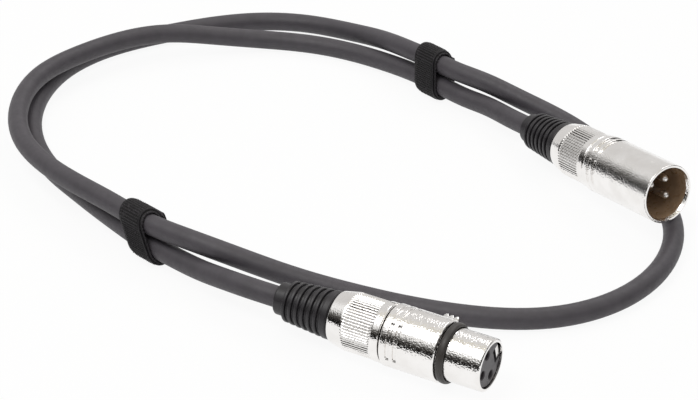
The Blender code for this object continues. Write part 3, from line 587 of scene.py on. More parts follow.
def with_painted_light(item, outside, painted_marks):
    """Gives a shell its outer material, and on the faces whose middle passes each test, that test's
    material of painted shade and reflection.
    """
    item.data.materials.append(outside)
    for number, (surface, test) in enumerate(painted_marks, 1):
        item.data.materials.append(surface)
        for face in item.data.polygons:
            if test(face.center):
                face.material_index = number
    return item


# Faces on the spigot, which get the painted shade of the seam's dark line
def on_spigot(middle):
    return middle.z < -FIT / 3


def dress(node, surface):
    """Gives a carried-over CAD node its material."""
    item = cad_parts[node]
    if not item.material_slots:
        item.data.materials.append(surface)
    for held in item.material_slots:
        held.material = surface


# Places

def place_of(x, y, z, origin):
    """The place with these three axes and this origin."""
    place = Matrix((x, y, z)).transposed().to_4x4()
    place.translation = origin
    return place


def connector_frame(rim, heading, tilt, key_angle, length):
    """The place of a shell's rear seam: Z along the axis, X towards the key side."""
    heading = math.radians(heading)
    tilt = math.radians(tilt)
    flat = math.cos(tilt)
    axis = Vector((math.cos(heading) * flat, -math.sin(heading) * flat, math.sin(tilt)))
    right = Vector((-axis.y, axis.x, 0.0)).normalized()
    up = axis.cross(right)
    key = right * math.cos(math.radians(key_angle)) + up * math.sin(math.radians(key_angle))
    return place_of(key, axis.cross(key), axis, COIL_CENTRE + rim - axis * length)


WORLD = Matrix.Identity(4)
MALE = connector_frame(MALE_RIM, MALE_HEADING, MALE_TILT, MALE_KEY_ANGLE, MALE_LENGTH)
FEMALE = connector_frame(FEMALE_RIM, FEMALE_HEADING, FEMALE_TILT, FEMALE_KEY_ANGLE, FEMALE_LENGTH)
BOOT_TOP = -2 * FIT - BUSHING_LENGTH
BOOT_REAR = BOOT_TOP - BOOT_LENGTH
MALE_FACE = MALE_LENGTH - CAVITY_DEPTH
MALE_CUP_TOP = MALE_FACE - MALE_INSERT_LENGTH - SMALL_FIT
FEMALE_CUP_REAR = FEMALE_INSERT_REAR - SMALL_FIT - CUP_LENGTH


def on_circle(radius, degrees):
    angle = math.radians(degrees)
    return radius * math.cos(angle), radius * math.sin(angle)


def local_point(place, radius, degrees, height):
    return place @ Vector((*on_circle(radius, degrees), height))


def on_axis(place, height):
    return place @ Vector((0.0, 0.0, height))


# Cable

def natural_spline(knots, values):
    """A function that runs smoothly through the values at the knots."""
    knots = np.asarray(knots, float)
    values = np.asarray(values, float)
    steps = np.diff(knots)
    count = len(knots)
    system = np.eye(count)
    target = np.zeros(count)
    for i in range(1, count - 1):
        system[i, i - 1] = steps[i - 1]
        system[i, i] = 2 * (steps[i - 1] + steps[i])
        system[i, i + 1] = steps[i]
        rise = (values[i + 1] - values[i]) / steps[i] - (values[i] - values[i - 1]) / steps[i - 1]
        target[i] = 6 * rise
    bend = np.linalg.solve(system, target)

    def at(place):
        i = int(np.clip(np.searchsorted(knots, place) - 1, 0, count - 2))
        before = (knots[i + 1] - place) / steps[i]
        after = (place - knots[i]) / steps[i]
        curve = (before ** 3 - before) * bend[i] + (after ** 3 - after) * bend[i + 1]
        return before * values[i] + after * values[i + 1] + curve * steps[i] ** 2 / 6

    return at


def polar(point):
    """Angle in degrees, radius and height of a point about the coil's centre, in millimetres."""
    offset = (point - COIL_CENTRE) / MM
    return math.degrees(math.atan2(offset.y, offset.x)), math.hypot(offset.x, offset.y), offset.z


def lead_stations(place):
    """Places on a connector's axis, from inside its boot to the end of the straight lead."""
    heights = (BOOT_REAR + LEAD, BOOT_REAR, BOOT_REAR - LEAD / 2, BOOT_REAR - LEAD)
    return [polar(on_axis(place, height)) for height in heights]


def coil_route():
    """The cable's middle as a function of the angle, with the angles where its straight leads end."""
    male = lead_stations(MALE)
    female = [(angle % 360 + 360, radius, height) for angle, radius, height in lead_stations(FEMALE)]
    stations = male + list(COIL_STATIONS) + female[::-1]
    angles = [station[0] for station in stations]
    radius_at = natural_spline(angles, [station[1] for station in stations])
    height_at = natural_spline(angles, [station[2] for station in stations])

    def at(angle):
        x, y = on_circle(radius_at(angle), angle)
        return COIL_CENTRE + Vector((x, y, height_at(angle))) * MM

    return at, male[-1][0], female[-1][0]


ROUTE, FIRST_ANGLE, LAST_ANGLE = coil_route()


def cable_line(end_height):
    """The cable's middle line from the plug to the socket, ending at a height on both axes."""
    lead = np.linspace(end_height, BOOT_REAR - LEAD, LEAD_POINTS)
    count = round((LAST_ANGLE - FIRST_ANGLE) / ROUTE_STEP)
    angles = np.linspace(FIRST_ANGLE, LAST_ANGLE, count + 1)[1:-1]
    start = [on_axis(MALE, height) for height in lead]
    end = [on_axis(FEMALE, height) for height in lead[::-1]]
    return start + [ROUTE(angle) for angle in angles] + end


def side_of(points, i):
    """The level direction square to the cable at one of its points."""
    before = points[max(i - 1, 0)]
    after = points[min(i + 1, len(points) - 1)]
    return (after - before).cross(Vector((0.0, 0.0, 1.0))).normalized()


def make_core(name, node, hand, number, surface, slot):
    """An insulated conductor, beside the cable's middle and out to its contacts."""
    line = cable_line(CHUCK_FRONT + 2 * SHIELD_SHOWN)
    angle = CONTACT_ANGLES[number]
    male_rear = MALE_CUP_TOP - CUP_LENGTH
    points = [
        local_point(MALE, CONTACT_CIRCLE_RADIUS, angle, male_rear + rise)
        for rise in (WIRE_IN_CUP, -FIT)
    ]
    points += [point + side_of(line, i) * hand * CORE_OFFSET for i, point in enumerate(line)]
    points += [
        local_point(FEMALE, CONTACT_CIRCLE_RADIUS, -angle, FEMALE_CUP_REAR + rise)
        for rise in (-FIT, WIRE_IN_CUP)
    ]
    radii = [1.0] * len(points)
    for i in (0, 1, -2, -1):
        radii[i] = STRIPPED_SHARE
    return show(tube(name, points, CORE_RADIUS, radii=radii), surface, WORLD, "cable", slot, node)


def make_cable():
    """The jacket, the screen inside it and the two cores, with the jacket's length."""
    line = cable_line(CHUCK_FRONT)
    length = sum((after - before).length for before, after in zip(line, line[1:]))
    jacket = tube("cable", line, CABLE_RADIUS, JACKET_WALL)
    show(jacket, JACKET, WORLD, "cable", "jacket", "cable_jacket")
    screen_line = cable_line(CHUCK_FRONT + SHIELD_SHOWN)
    screen = tube("cable_screen", screen_line, CABLE_RADIUS - JACKET_WALL - FIT, SHIELD_WALL)
    show(screen, COPPER, WORLD, "cable", "copper", "cable_shield")
    hot = make_core("hot_core", "hot_conductor", -1, 2, RED_INSULATION, "red_insulation")
    cold = make_core("cold_core", "cold_conductor", 1, 3, WHITE_INSULATION, "white_insulation")
    return jacket, length, [screen, hot, cold]


CABLE, CABLE_LENGTH, CABLE_INSIDES = make_cable()


# Shells

def spigot_profile():
    """The threaded rear end of a shell, from below its seam to its rear bore."""
    first, last = (-share * SPIGOT_LENGTH for share in THREAD_SPAN)
    points = [(SPIGOT_RADIUS, height) for height in np.linspace(first, last, THREAD_RINGS)]
    return points + [(SPIGOT_RADIUS - THREAD_DEPTH, -SPIGOT_LENGTH), (REAR_BORE_RADIUS, -SPIGOT_LENGTH)]


def groove_profile(radius):
    """The outer side of a shell from above its grooves down to its seam."""
    points = []
    for middle in sorted(GROOVE_PLACES, reverse=True):
        top = middle + GROOVE_WIDTH / 2
        bottom = middle - GROOVE_WIDTH / 2
        points += [(radius, top), (radius - GROOVE_DEPTH, top - GROOVE_DEPTH / 3)]
        points += [(radius - GROOVE_DEPTH, bottom + GROOVE_DEPTH / 3), (radius, bottom)]
    return points + [(radius, EDGE), (radius - EDGE, 0.0)]


def land_share(angles, radius, first):
    """How far the grooves are filled at each angle: 1 on a land, 0 away from it."""
    step = math.tau / LAND_COUNT
    off = np.abs((angles - math.radians(first) + step / 2) % step - step / 2) * radius
    return np.clip((LAND_WIDTH / 2 + LAND_SLOPE - off) / LAND_SLOPE, 0.0, 1.0)


def shell_shape(radius, first_land):
    """The radius of a shell round its axis: grooves with lands, and a thread on the spigot."""
    low = min(GROOVE_PLACES) - GROOVE_WIDTH
    high = max(GROOVE_PLACES) + GROOVE_WIDTH

    def shape(radii, height, angles):
        if low < height < high and radii[0] > radius - 2 * GROOVE_DEPTH:
            return radii + (radius - radii) * land_share(angles, radius, first_land)
        if height < 0.0 and radii[0] == SPIGOT_RADIUS:
            turn = math.tau * height / THREAD_PITCH - angles
            return radii - THREAD_DEPTH * (0.5 + 0.5 * np.cos(turn))
        return radii

    return shape


def shell_profile(front, radius, rear):
    """A shell's closed profile, softened apart from its spigot."""
    outer = softened(front + groove_profile(radius) + [(SPIGOT_RADIUS, 0.0)], closed=False)
    inner = softened(rear, closed=False)
    return outer + spigot_profile() + inner


def make_male_shell():
    front = [
        (CAVITY_RADIUS + MOUTH_CHAMFER, MALE_LENGTH), (MALE_RADIUS - RIM_CHAMFER, MALE_LENGTH),
        (MALE_RADIUS, MALE_LENGTH - RIM_CHAMFER),
    ]
    rear = [
        (REAR_BORE_RADIUS, -SPIGOT_LENGTH), (REAR_BORE_RADIUS, MALE_FACE), (CAVITY_RADIUS, MALE_FACE),
        (CAVITY_RADIUS, MALE_LENGTH - 2 * MOUTH_CHAMFER), (CAVITY_RADIUS + MOUTH_CHAMFER, MALE_LENGTH),
    ]
    profile = shell_profile(front, MALE_RADIUS, rear)
    shell = turned("plug_shell", profile, shape=shell_shape(MALE_RADIUS, MALE_FIRST_LAND))
    high = MALE_LENGTH - CATCH_FROM_RIM
    catch = solid_box(
        "catch_recess",
        (CAVITY_RADIUS / 2, -CATCH_WIDTH / 2, high - CATCH_LENGTH),
        (CAVITY_RADIUS + CATCH_DEPTH, CATCH_WIDTH / 2, high),
    )

    # Faces of the plug's bore, which get the painted warm reflection and shade
    def in_bore(middle):
        inside = middle.xy.length < MALE_RADIUS - EDGE
        return inside and MALE_FACE <= middle.z < MALE_LENGTH - 2 * MOUTH_CHAMFER

    # Painted shade on the spigot for the seam's dark line; painted warm reflection and shade in the bore
    painted_marks = ((SEAM_PAINTED_SHADE, on_spigot), (BORE_PAINTED_REFLECTION, in_bore))
    shell = with_painted_light(carved(shell, [catch]), SHELL_NICKEL, painted_marks)
    return show(shell, SHELL_NICKEL, MALE, "cable", "nickel", "male_shell")


def tooth_heights():
    top = FEMALE_LENGTH - TOOTH_FROM_FACE
    return top - TOOTH_LENGTH, top


def button_heights():
    top = BODY_LENGTH - 2 * WINDOW_ROOM
    return top - BUTTON_LENGTH, top


def make_female_shell():
    bore = NOSE_RADIUS - NOSE_WALL
    front = [
        (bore, FEMALE_LENGTH), (NOSE_RADIUS - NOSE_CHAMFER, FEMALE_LENGTH),
        (NOSE_RADIUS, FEMALE_LENGTH - NOSE_CHAMFER), (NOSE_RADIUS, BODY_LENGTH),
        (BODY_RADIUS - EDGE, BODY_LENGTH), (BODY_RADIUS, BODY_LENGTH - EDGE),
    ]
    rear = [
        (REAR_BORE_RADIUS, -SPIGOT_LENGTH), (REAR_BORE_RADIUS, SEAT_HEIGHT), (bore, SEAT_HEIGHT),
        (bore, FEMALE_LENGTH),
    ]
    profile = shell_profile(front, BODY_RADIUS, rear)
    shell = turned("socket_shell", profile, shape=shell_shape(BODY_RADIUS, FEMALE_FIRST_LAND))
    outer = BODY_RADIUS + BUTTON_PROUD
    cutters = []
    windows = {
        "tooth_slot": (tooth_heights(), TOOTH_WIDTH),
        "button_window": (button_heights(), BUTTON_WIDTH),
    }
    for name, ((low, high), width) in windows.items():
        half = width / 2 + WINDOW_ROOM
        cutters.append(
            solid_box(name, (LATCH_INNER, -half, low - WINDOW_ROOM), (outer, half, high + WINDOW_ROOM))
        )
    # The spigot's faces get painted shade for the dark line in the seam
    shell = with_painted_light(carved(shell, cutters), SHELL_NICKEL, ((SEAM_PAINTED_SHADE, on_spigot),))
    return show(shell, SHELL_NICKEL, FEMALE, "cable", "nickel", "female_shell")


# Inserts and contacts

def make_male_insert():
    radius = REAR_BORE_RADIUS - FIT
    rear = MALE_FACE - MALE_INSERT_LENGTH
    profile = [(0.0, MALE_FACE), (radius, MALE_FACE), (radius, rear), (0.0, rear)]
    insert = turned("plug_insert", softened(profile, closed=False), closed=False)
    cutters = []
    for number, angle in CONTACT_ANGLES.items():
        x, y = on_circle(CONTACT_CIRCLE_RADIUS, angle)
        hole = PIN_RADIUS + SMALL_FIT
        sunk = MALE_FACE - PIN_BOSS_DEPTH
        profile = [(0.0, MALE_FACE + FIT), (PIN_BOSS_RADIUS, MALE_FACE + FIT), (PIN_BOSS_RADIUS, sunk)]
        profile += [(hole, sunk), (hole, rear - FIT), (0.0, rear - FIT)]
        cutter = turned(f"pin_hole_{number}", profile, SMALL_ROUND, closed=False)
        cutter.location = (x, y, 0.0)
        cutters.append(cutter)
    # The insert gets the brown of painted warm reflection
    return show(carved(insert, cutters), PLUG_INSERT_PAINTED_REFLECTION, MALE, "cable", "black_plastic", "male_insert")


def make_male_pins():
    tip = MALE_LENGTH - PIN_RECESS
    rear = MALE_CUP_TOP - CUP_LENGTH
    pins = []
    for number, angle in CONTACT_ANGLES.items():
        crown = [
            on_circle(PIN_RADIUS, 90 - 90 * i / PIN_CROWN_STEPS) for i in range(PIN_CROWN_STEPS + 1)
        ]
        profile = [(x, tip - PIN_RADIUS + z) for x, z in crown]
        profile += [(PIN_RADIUS, MALE_CUP_TOP), (CUP_RADIUS, MALE_CUP_TOP), (CUP_RADIUS, rear)]
        profile += [(CUP_BORE_RADIUS, rear), (CUP_BORE_RADIUS, rear + CUP_DEPTH), (0.0, rear + CUP_DEPTH)]
        pin = turned(f"plug_pin_{number}", profile, SMALL_ROUND, closed=False)
        place = MALE @ Matrix.Translation((*on_circle(CONTACT_CIRCLE_RADIUS, angle), 0.0))
        pins.append(show(pin, PIN_SILVER, place, "cable", "silver_contact", f"male_pin_{number}"))
    return pins


def make_female_insert():
    face = FEMALE_LENGTH - FACE_RECESS
    front_radius = NOSE_RADIUS - NOSE_WALL - FIT
    rear_radius = REAR_BORE_RADIUS - FIT
    step = SEAT_HEIGHT - FIT
    rear = FEMALE_INSERT_REAR
    profile = [(0.0, face), (front_radius, face), (front_radius, step), (rear_radius, step)]
    profile += [(rear_radius, rear), (0.0, rear)]
    insert = turned("socket_insert", softened(profile, closed=False), closed=False)
    channel_floor = LATCH_INNER - LATCH_SWING_ROOM
    cutters = [solid_box(
        "latch_channel",
        (channel_floor, -LATCH_WIDTH / 2 - WINDOW_ROOM, rear - FIT),
        (BODY_RADIUS, LATCH_WIDTH / 2 + WINDOW_ROOM, face + FIT),
    )]
    cutters.append(solid_rod(
        "spring_pocket", SPRING_RADIUS + SPRING_WIRE + FIT,
        (SPRING_SEAT, 0.0, SPRING_HEIGHT), (channel_floor + FIT, 0.0, SPRING_HEIGHT),
    ))
    reach = LATCH_PIN_LENGTH / 2 + FIT
    cutters.append(solid_rod(
        "latch_pin_bore", LATCH_PIN_RADIUS + SMALL_FIT,
        (LATCH_PIVOT_RADIUS, -reach, LATCH_PIVOT_HEIGHT), (LATCH_PIVOT_RADIUS, reach, LATCH_PIVOT_HEIGHT),
    ))
    for number, angle in CONTACT_ANGLES.items():
        lip = face - FACE_LIP
        wide = FACE_HOLE_RADIUS + FACE_HOLE_CHAMFER
        bore = SOCKET_RADIUS + SMALL_FIT
        profile = [(0.0, face + FIT), (wide, face + FIT), (wide, face)]
        profile += [(FACE_HOLE_RADIUS, face - FACE_HOLE_CHAMFER), (FACE_HOLE_RADIUS, lip), (bore, lip)]
        profile += [(bore, rear - FIT), (0.0, rear - FIT)]
        hole = turned(f"socket_hole_{number}", profile, SMALL_ROUND, closed=False)
        hole.location = (*on_circle(CONTACT_CIRCLE_RADIUS, -angle), 0.0)
        cutters.append(hole)
    return show(carved(insert, cutters), INSERT_PLASTIC, FEMALE, "cable", "black_plastic", "female_insert")


def make_seal_ring():
    inner = NOSE_RADIUS + SMALL_FIT
    middle = BODY_LENGTH + FIT + SEAL_LENGTH / 2
    profile = []
    for i in range(SEAL_ARC_STEPS + 1):
        turn = math.pi * i / SEAL_ARC_STEPS
        rise = (SEAL_RADIUS - inner) * math.sin(turn) ** SEAL_BULGE
        profile.append((inner + rise, middle + SEAL_LENGTH / 2 * math.cos(turn)))
    ring = turned("socket_ring", profile)
    return show(ring, SEAL_RUBBER, FEMALE, "cable", "boot_rubber", "seal_ring")


# Latch

def extruded(name, outline, width):
    """A flat outline of (x, z) points, made as wide as width about y = 0."""
    rings = [np.array([(x, side * width / 2, z) for x, z in outline]) for side in (-1, 1)]
    return lofted(name, rings, capped=True)


def make_latch():
    half = LATCH_WIDTH / 2
    tip = FEMALE_LENGTH - FACE_RECESS - LATCH_TIP_GAP
    outer = LATCH_INNER + LATCH_THICKNESS
    low, high = button_heights()
    top = BODY_RADIUS + BUTTON_PROUD
    pitch = (high - low) / BUTTON_RIDGES
    valley = top - BUTTON_PROUD / 2
    ridges = []
    for i in range(BUTTON_RIDGES):
        ridges += [(valley, low + pitch * (i + RIDGE_FOOT)), (top, low + pitch * (i + RIDGE_CREST))]
        ridges += [(top, low + pitch * (i + 1 - RIDGE_CREST)), (valley, low + pitch * (i + 1 - RIDGE_FOOT))]
    tab = extruded("latch_tab", [(BUTTON_INNER, low)] + ridges + [(BUTTON_INNER, high)], BUTTON_WIDTH)
    stem = solid_box("latch_stem", (outer - FIT, -half, low), (BUTTON_INNER + FIT, half, high))
    outline = [(LATCH_INNER, LATCH_PIVOT_HEIGHT), (outer, LATCH_PIVOT_HEIGHT)]
    outline += [(outer, tip), (LATCH_INNER, tip)]
    bar = extruded("socket_latch", outline, LATCH_WIDTH)
    low, high = tooth_heights()
    crest = NOSE_RADIUS + TOOTH_PROUD
    slope = TOOTH_LENGTH / 4
    outline = [(outer - FIT, low), (crest, low), (crest, high - slope)]
    outline += [(crest - slope, high), (outer - FIT, high)]
    tooth = extruded("latch_tooth", outline, TOOTH_WIDTH)
    pivot = Vector((LATCH_PIVOT_RADIUS, 0.0, LATCH_PIVOT_HEIGHT))
    reach = Vector((0.0, half, 0.0))
    eye = solid_rod("latch_eye", LATCH_EYE_RADIUS, pivot - reach, pivot + reach)
    latch = carved(bar, [stem, tab, tooth, eye], "UNION")
    reach.y += FIT
    bore = solid_rod("latch_bore", LATCH_PIN_RADIUS + SMALL_FIT, pivot - reach, pivot + reach)
    latch = carved(latch, [bore], bevel=LATCH_BEVEL)
    return show(latch, LATCH_STEEL, FEMALE, "latch", "steel", "latch")


# Bushings and boots

def flute_share(angles):
    """Depth of the knurl's flutes at each angle, from 0 on a tooth to 1 in a flute."""
    phase = (angles * KNURL_FLUTES / math.tau) % 1.0
    off = np.abs(phase - 0.5) * 2
    return np.clip(1.0 - off / FLUTE_SHARE, 0.0, 1.0) ** FLUTE_ROUNDNESS


def make_bushing(side, name, place):
    top = -SEAM_GAPS[side]
    knurl_top = -FIT - RING_LENGTH
    knurl_bottom = knurl_top - KNURL_LENGTH
    rear = -FIT - BUSHING_LENGTH
    thread = SPIGOT_RADIUS + FIT
    thread_floor = -SPIGOT_LENGTH - FIT
    chuck_floor = CHUCK_FRONT - CHUCK_LENGTH - FIT
    neck_bore = NECK_RADIUS + FIT

    def shape(radii, height, angles):
        if not knurl_bottom <= height <= knurl_top or radii[0] < KNURL_RADIUS - FLUTE_DEPTH:
            return radii
        ends = min((height - knurl_bottom) / FLUTE_END, (knurl_top - height) / FLUTE_END, 1.0)
        return radii - FLUTE_DEPTH * flute_share(angles) * math.sin(ends * math.pi / 2)

    ring = [
        (thread, top), (RING_RADIUS - EDGE, top), (RING_RADIUS, top - EDGE),
        (RING_RADIUS, knurl_top + EDGE / 2), (KNURL_RADIUS, knurl_top),
    ]
    ends = [i / FLUTE_END_STEPS * FLUTE_END for i in range(FLUTE_END_STEPS + 1)]
    knurl = [(KNURL_RADIUS, knurl_top - end) for end in ends[1:]]
    knurl += [(KNURL_RADIUS, knurl_bottom + end) for end in ends[::-1]]
    shoulder = [
        (KNURL_RADIUS, knurl_bottom), (KNURL_RADIUS, knurl_bottom - EDGE),
        (SHOULDER_RADIUS + EDGE, rear + EDGE), (SHOULDER_RADIUS, rear),
        (neck_bore, rear), (neck_bore, chuck_floor), (REAR_BORE_RADIUS, chuck_floor),
        (REAR_BORE_RADIUS, thread_floor), (thread, thread_floor), (thread, top),
    ]
    profile = softened(ring, closed=False) + knurl + softened(shoulder, closed=False)[1:-1]
    bushing = turned(name, profile, KNURL_FLUTES * KNURL_SAMPLES, shape=shape)
    body = f"{side}_bushing"
    return show(bushing, BUSHING_NICKEL, place, body, "nickel", body)


def make_boot(side, name, place):
    bore = CABLE_RADIUS + FIT
    ribs_top = BOOT_TOP - BOOT_BAND
    ribs_bottom = BOOT_REAR + COLLAR_LENGTH
    pitch = (ribs_top - ribs_bottom) / BOOT_RIBS
    neck_top = BOOT_TOP + NECK_LENGTH
    profile = [(NECK_RADIUS, neck_top), (NECK_RADIUS, BOOT_TOP), (BOOT_RADIUS - EDGE, BOOT_TOP)]
    profile += [(BOOT_RADIUS, BOOT_TOP - EDGE)]
    for i in range(BOOT_RIBS):
        start = BOOT_RADIUS + (BOOT_RIB_END_RADIUS - BOOT_RADIUS) * i / BOOT_RIBS
        end = BOOT_RADIUS + (BOOT_RIB_END_RADIUS - BOOT_RADIUS) * (i + 1) / BOOT_RIBS
        height = ribs_top - pitch * i
        profile += [(start, height), (start - BOOT_GROOVE_DEPTH, height)]
        profile += [(start - BOOT_GROOVE_DEPTH, height - BOOT_GROOVE), (end, height - BOOT_GROOVE)]
    profile += [(BOOT_RIB_END_RADIUS, ribs_bottom), (COLLAR_RADIUS, ribs_bottom)]
    profile += [(COLLAR_RADIUS, BOOT_REAR + EDGE), (COLLAR_RADIUS - EDGE, BOOT_REAR), (bore, BOOT_REAR)]
    profile += [(bore, neck_top)]
    boot = turned(name, softened(profile, BOOT_SOFT_EDGE))
    body = f"{side}_boot"
    return show(boot, BOOT_RUBBER, place, body, "boot_rubber", body)


# Ties

def racetrack(travel, radius, half):
    """Point and outward direction after travelling round two half circles and the straights between."""
    arc = math.pi * radius
    run = 2 * half
    travel = travel % (2 * (arc + run))
    if travel < arc:
        out = np.array(on_circle(1.0, math.degrees(travel / radius)))
        return np.array((0.0, half)) + radius * out, out
    travel -= arc
    if travel < run:
        return np.array((-radius, half - travel)), np.array((-1.0, 0.0))
    travel -= run
    if travel < arc:
        out = np.array(on_circle(1.0, 180 + math.degrees(travel / radius)))
        return np.array((0.0, -half)) + radius * out, out
    travel -= arc
    return np.array((radius, travel - half)), np.array((1.0, 0.0))


def hook_height(row, across, jitter):
    """Height of the woven hooks at places across the tape, on one of its rows."""
    ridge = (0.5 - 0.5 * math.cos(math.tau * row)) ** HOOK_SHARPNESS
    offset = 0.5 * (int(row) % 2)
    knots = (0.5 + 0.5 * np.cos(math.tau * (across / HOOK_PITCH + offset))) ** HOOK_SHARPNESS
    hem = np.clip((TIE_WIDTH / 2 - TIE_HEM - np.abs(across)) / TIE_HEM, 0.0, 1.0)
    return HOOK_HEIGHT * ridge * (HOOK_BASE + (1 - HOOK_BASE) * knots * jitter) * hem


def strap_section(point, out, across, heights, frays):
    """One closed section of the tape: hooks along its outer side, soft pile along its inner side."""
    outer = [(*(point + out * (TIE_STRAP + rise)), side) for side, rise in zip(across, heights)]
    right = TIE_WIDTH / 2 + PILE_OVERHANG * frays[0]
    left = -TIE_WIDTH / 2 - PILE_OVERHANG * frays[1]
    edge = -PILE_DEPTH * PILE_EDGE_SHARE
    pile = [(TIE_STRAP / 4, TIE_WIDTH / 2), (0.0, right), (edge, right)]
    pile += [(-PILE_DEPTH, side) for side in np.linspace(TIE_WIDTH / 2, -TIE_WIDTH / 2, PILE_COLUMNS)]
    pile += [(edge, left), (0.0, left), (TIE_STRAP / 4, -TIE_WIDTH / 2)]
    return np.array(outer + [(*(point + out * depth), side) for depth, side in pile])


def route_direction(angle):
    """The way the cable runs at an angle of its route."""
    return (ROUTE(angle + ROUTE_STEP) - ROUTE(angle - ROUTE_STEP)).normalized()


def make_tie(name, angle):
    """A tape wound once round the two passes of the cable and lapped over itself on its +Y side."""
    low = ROUTE(angle)
    high = ROUTE(angle + 360)
    along = (route_direction(angle) + route_direction(angle + 360)).normalized()
    across = high - low
    across -= along * across.dot(along)
    up = (across if across.z > 0 else -across).normalized()
    half = across.length / 2
    out = up.cross(along)
    if out.y < 0:
        out, along = -out, -along
    place = place_of(out, up - along * TIE_LEANS[name], along, (low + high) / 2)
    radius = CABLE_RADIUS + TIE_SLACK
    loop = 2 * (math.pi * radius + 2 * half)
    start = math.radians(TIE_LAP[0]) * radius
    end = loop + math.radians(TIE_LAP[1]) * radius
    rows = round((end - start) / HOOK_PITCH)
    columns = round(TIE_WIDTH / HOOK_PITCH) * HOOK_SAMPLES
    sides = np.linspace(-TIE_WIDTH / 2, TIE_WIDTH / 2, columns + 1)
    draws = np.random.default_rng(HOOK_SEED)
    sections = []
    for i in range(rows * HOOK_SAMPLES + 1):
        row = i / HOOK_SAMPLES
        travel = start + (end - start) * row / rows
        climb = np.clip((travel - (start + loop - TIE_CLIMB)) / TIE_CLIMB, 0.0, 1.0)
        point, outward = racetrack(travel, radius, half)
        point = point + outward * TIE_LAYER * climb * climb * (3 - 2 * climb)
        heights = hook_height(row, sides, draws.uniform(*HOOK_RANGE, columns + 1))
        sections.append(strap_section(point, outward, sides, heights, draws.uniform(*FRAY_RANGE, 2)))
    tape = lofted(f"{name}_tape", sections, capped=True)
    return show(tape, TIE_FABRIC, place, "cable", "tie_fabric", name)


# The whole object

def make_object():
    make_male_shell()
    make_male_insert()
    make_male_pins()
    ends = [make_female_shell(), make_female_insert(), make_seal_ring(), make_latch()]
    make_bushing("male", "plug_bushing", MALE)
    make_boot("male", "plug_boot", MALE)
    ends.append(make_bushing("female", "socket_bushing", FEMALE))
    ends.append(make_boot("female", "socket_boot", FEMALE))
    ends += [make_tie(name, angle) for name, angle in TIE_ANGLES.items()]
    for number in CONTACT_ANGLES:
        dress(f"female_socket_{number}", PIN_SILVER)
    for side in ("male", "female"):
        dress(f"{side}_chuck", CHUCK_PLASTIC)
        dress(f"{side}_screen_tail", COPPER)
    for node in ("latch_pin", "latch_spring"):
        dress(node, LATCH_STEEL)


make_object()


# Floor and light

def make_floor():
    """A pale floor: white to the camera and in reflections, and still holding the shadow."""
    mesh = bpy.data.meshes.new("floor")
    half = FLOOR_SIZE / 2
    corners = [(-half, -half, 0), (half, -half, 0), (half, half, 0), (-half, half, 0)]
    mesh.from_pydata(corners, [], [(0, 1, 2, 3)])
    floor = bpy.data.objects.new("floor", mesh)
    scene.collection.objects.link(floor)
    surface = bpy.data.materials.new("floor_white")
    surface.use_nodes = True
    surface.cycles.emission_sampling = "NONE"
    tree = surface.node_tree
    shader = tree.nodes["Principled BSDF"]
    shader.inputs["Base Color"].default_value = FLOOR_COLOUR
    shader.inputs["Roughness"].default_value = 1.0
    shader.inputs["Specular IOR Level"].default_value = 0.0
    glow = tree.nodes.new("ShaderNodeEmission")
    path = tree.nodes.new("ShaderNodeLightPath")
    seen = path.outputs["Is Camera Ray"]
    for ray in ("Is Glossy Ray", "Is Transmission Ray"):
        either = tree.nodes.new("ShaderNodeMath")
        either.operation = "MAXIMUM"
        tree.links.new(seen, either.inputs[0])
        tree.links.new(path.outputs[ray], either.inputs[1])
        seen = either.outputs["Value"]
    share = tree.nodes.new("ShaderNodeMath")
    share.operation = "MULTIPLY"
    share.inputs[1].default_value = FLOOR_GLOW
    tree.links.new(seen, share.inputs[0])
    mix = tree.nodes.new("ShaderNodeMixShader")
    tree.links.new(share.outputs["Value"], mix.inputs["Fac"])
    tree.links.new(shader.outputs["BSDF"], mix.inputs[1])
    tree.links.new(glow.outputs["Emission"], mix.inputs[2])
    tree.links.new(mix.outputs["Shader"], tree.nodes["Material Output"].inputs["Surface"])
    mesh.materials.append(surface)


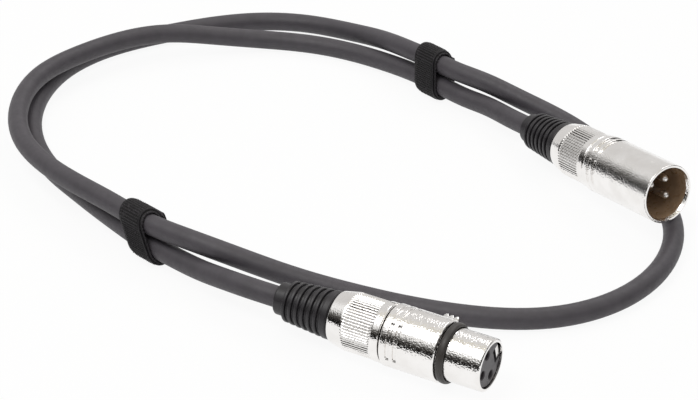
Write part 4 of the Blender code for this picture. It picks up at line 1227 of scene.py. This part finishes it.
def make_world():
    """A white room, dark low down in front, with a pale backdrop behind; plain white to the camera."""
    world = bpy.data.worlds.new("studio")
    scene.world = world
    world.use_nodes = True
    tree = world.node_tree
    where = tree.nodes.new("ShaderNodeTexCoord")
    split = tree.nodes.new("ShaderNodeSeparateXYZ")
    tree.links.new(where.outputs["Generated"], split.inputs["Vector"])
    ramp = tree.nodes.new("ShaderNodeValToRGB")
    tree.links.new(split.outputs["Z"], ramp.inputs["Fac"])
    stops = ramp.color_ramp.elements
    while len(stops) < len(HORIZON_STOPS):
        stops.new(1.0)
    for stop, (place, colour) in zip(stops, HORIZON_STOPS):
        stop.position = place
        stop.color = (*colour, 1.0)
    path = tree.nodes.new("ShaderNodeLightPath")
    mix = tree.nodes.new("ShaderNodeMix")
    mix.data_type = "RGBA"
    tree.links.new(path.outputs["Is Camera Ray"], mix.inputs["Factor"])
    backdrop = tree.nodes.new("ShaderNodeMix")
    backdrop.data_type = "RGBA"
    behind = tree.nodes.new("ShaderNodeMapRange")
    behind.inputs["From Min"].default_value = BACKDROP_SIDES[0]
    behind.inputs["From Max"].default_value = BACKDROP_SIDES[1]
    tree.links.new(split.outputs["Y"], behind.inputs["Value"])
    tree.links.new(behind.outputs["Result"], backdrop.inputs["Factor"])
    tree.links.new(ramp.outputs["Color"], backdrop.inputs["A"])
    backdrop.inputs["B"].default_value = BACKDROP_COLOUR
    tree.links.new(backdrop.outputs["Result"], mix.inputs["A"])
    mix.inputs["B"].default_value = WHITE
    tree.links.new(mix.outputs["Result"], tree.nodes["Background"].inputs["Color"])


def make_lamp(name, place, power):
    """A soft round lamp that shines on the frame's origin."""
    data = bpy.data.lights.new(name, "AREA")
    data.shape = "DISK"
    data.size = LAMP_SIZE
    data.energy = power
    lamp = bpy.data.objects.new(name, data)
    lamp.location = place
    lamp.rotation_mode = "QUATERNION"
    lamp.rotation_quaternion = (-Vector(place)).to_track_quat("-Z", "Y")
    scene.collection.objects.link(lamp)


make_floor()
make_world()
for lamp_name, (lamp_place, lamp_power) in LAMPS.items():
    make_lamp(lamp_name, lamp_place, lamp_power)
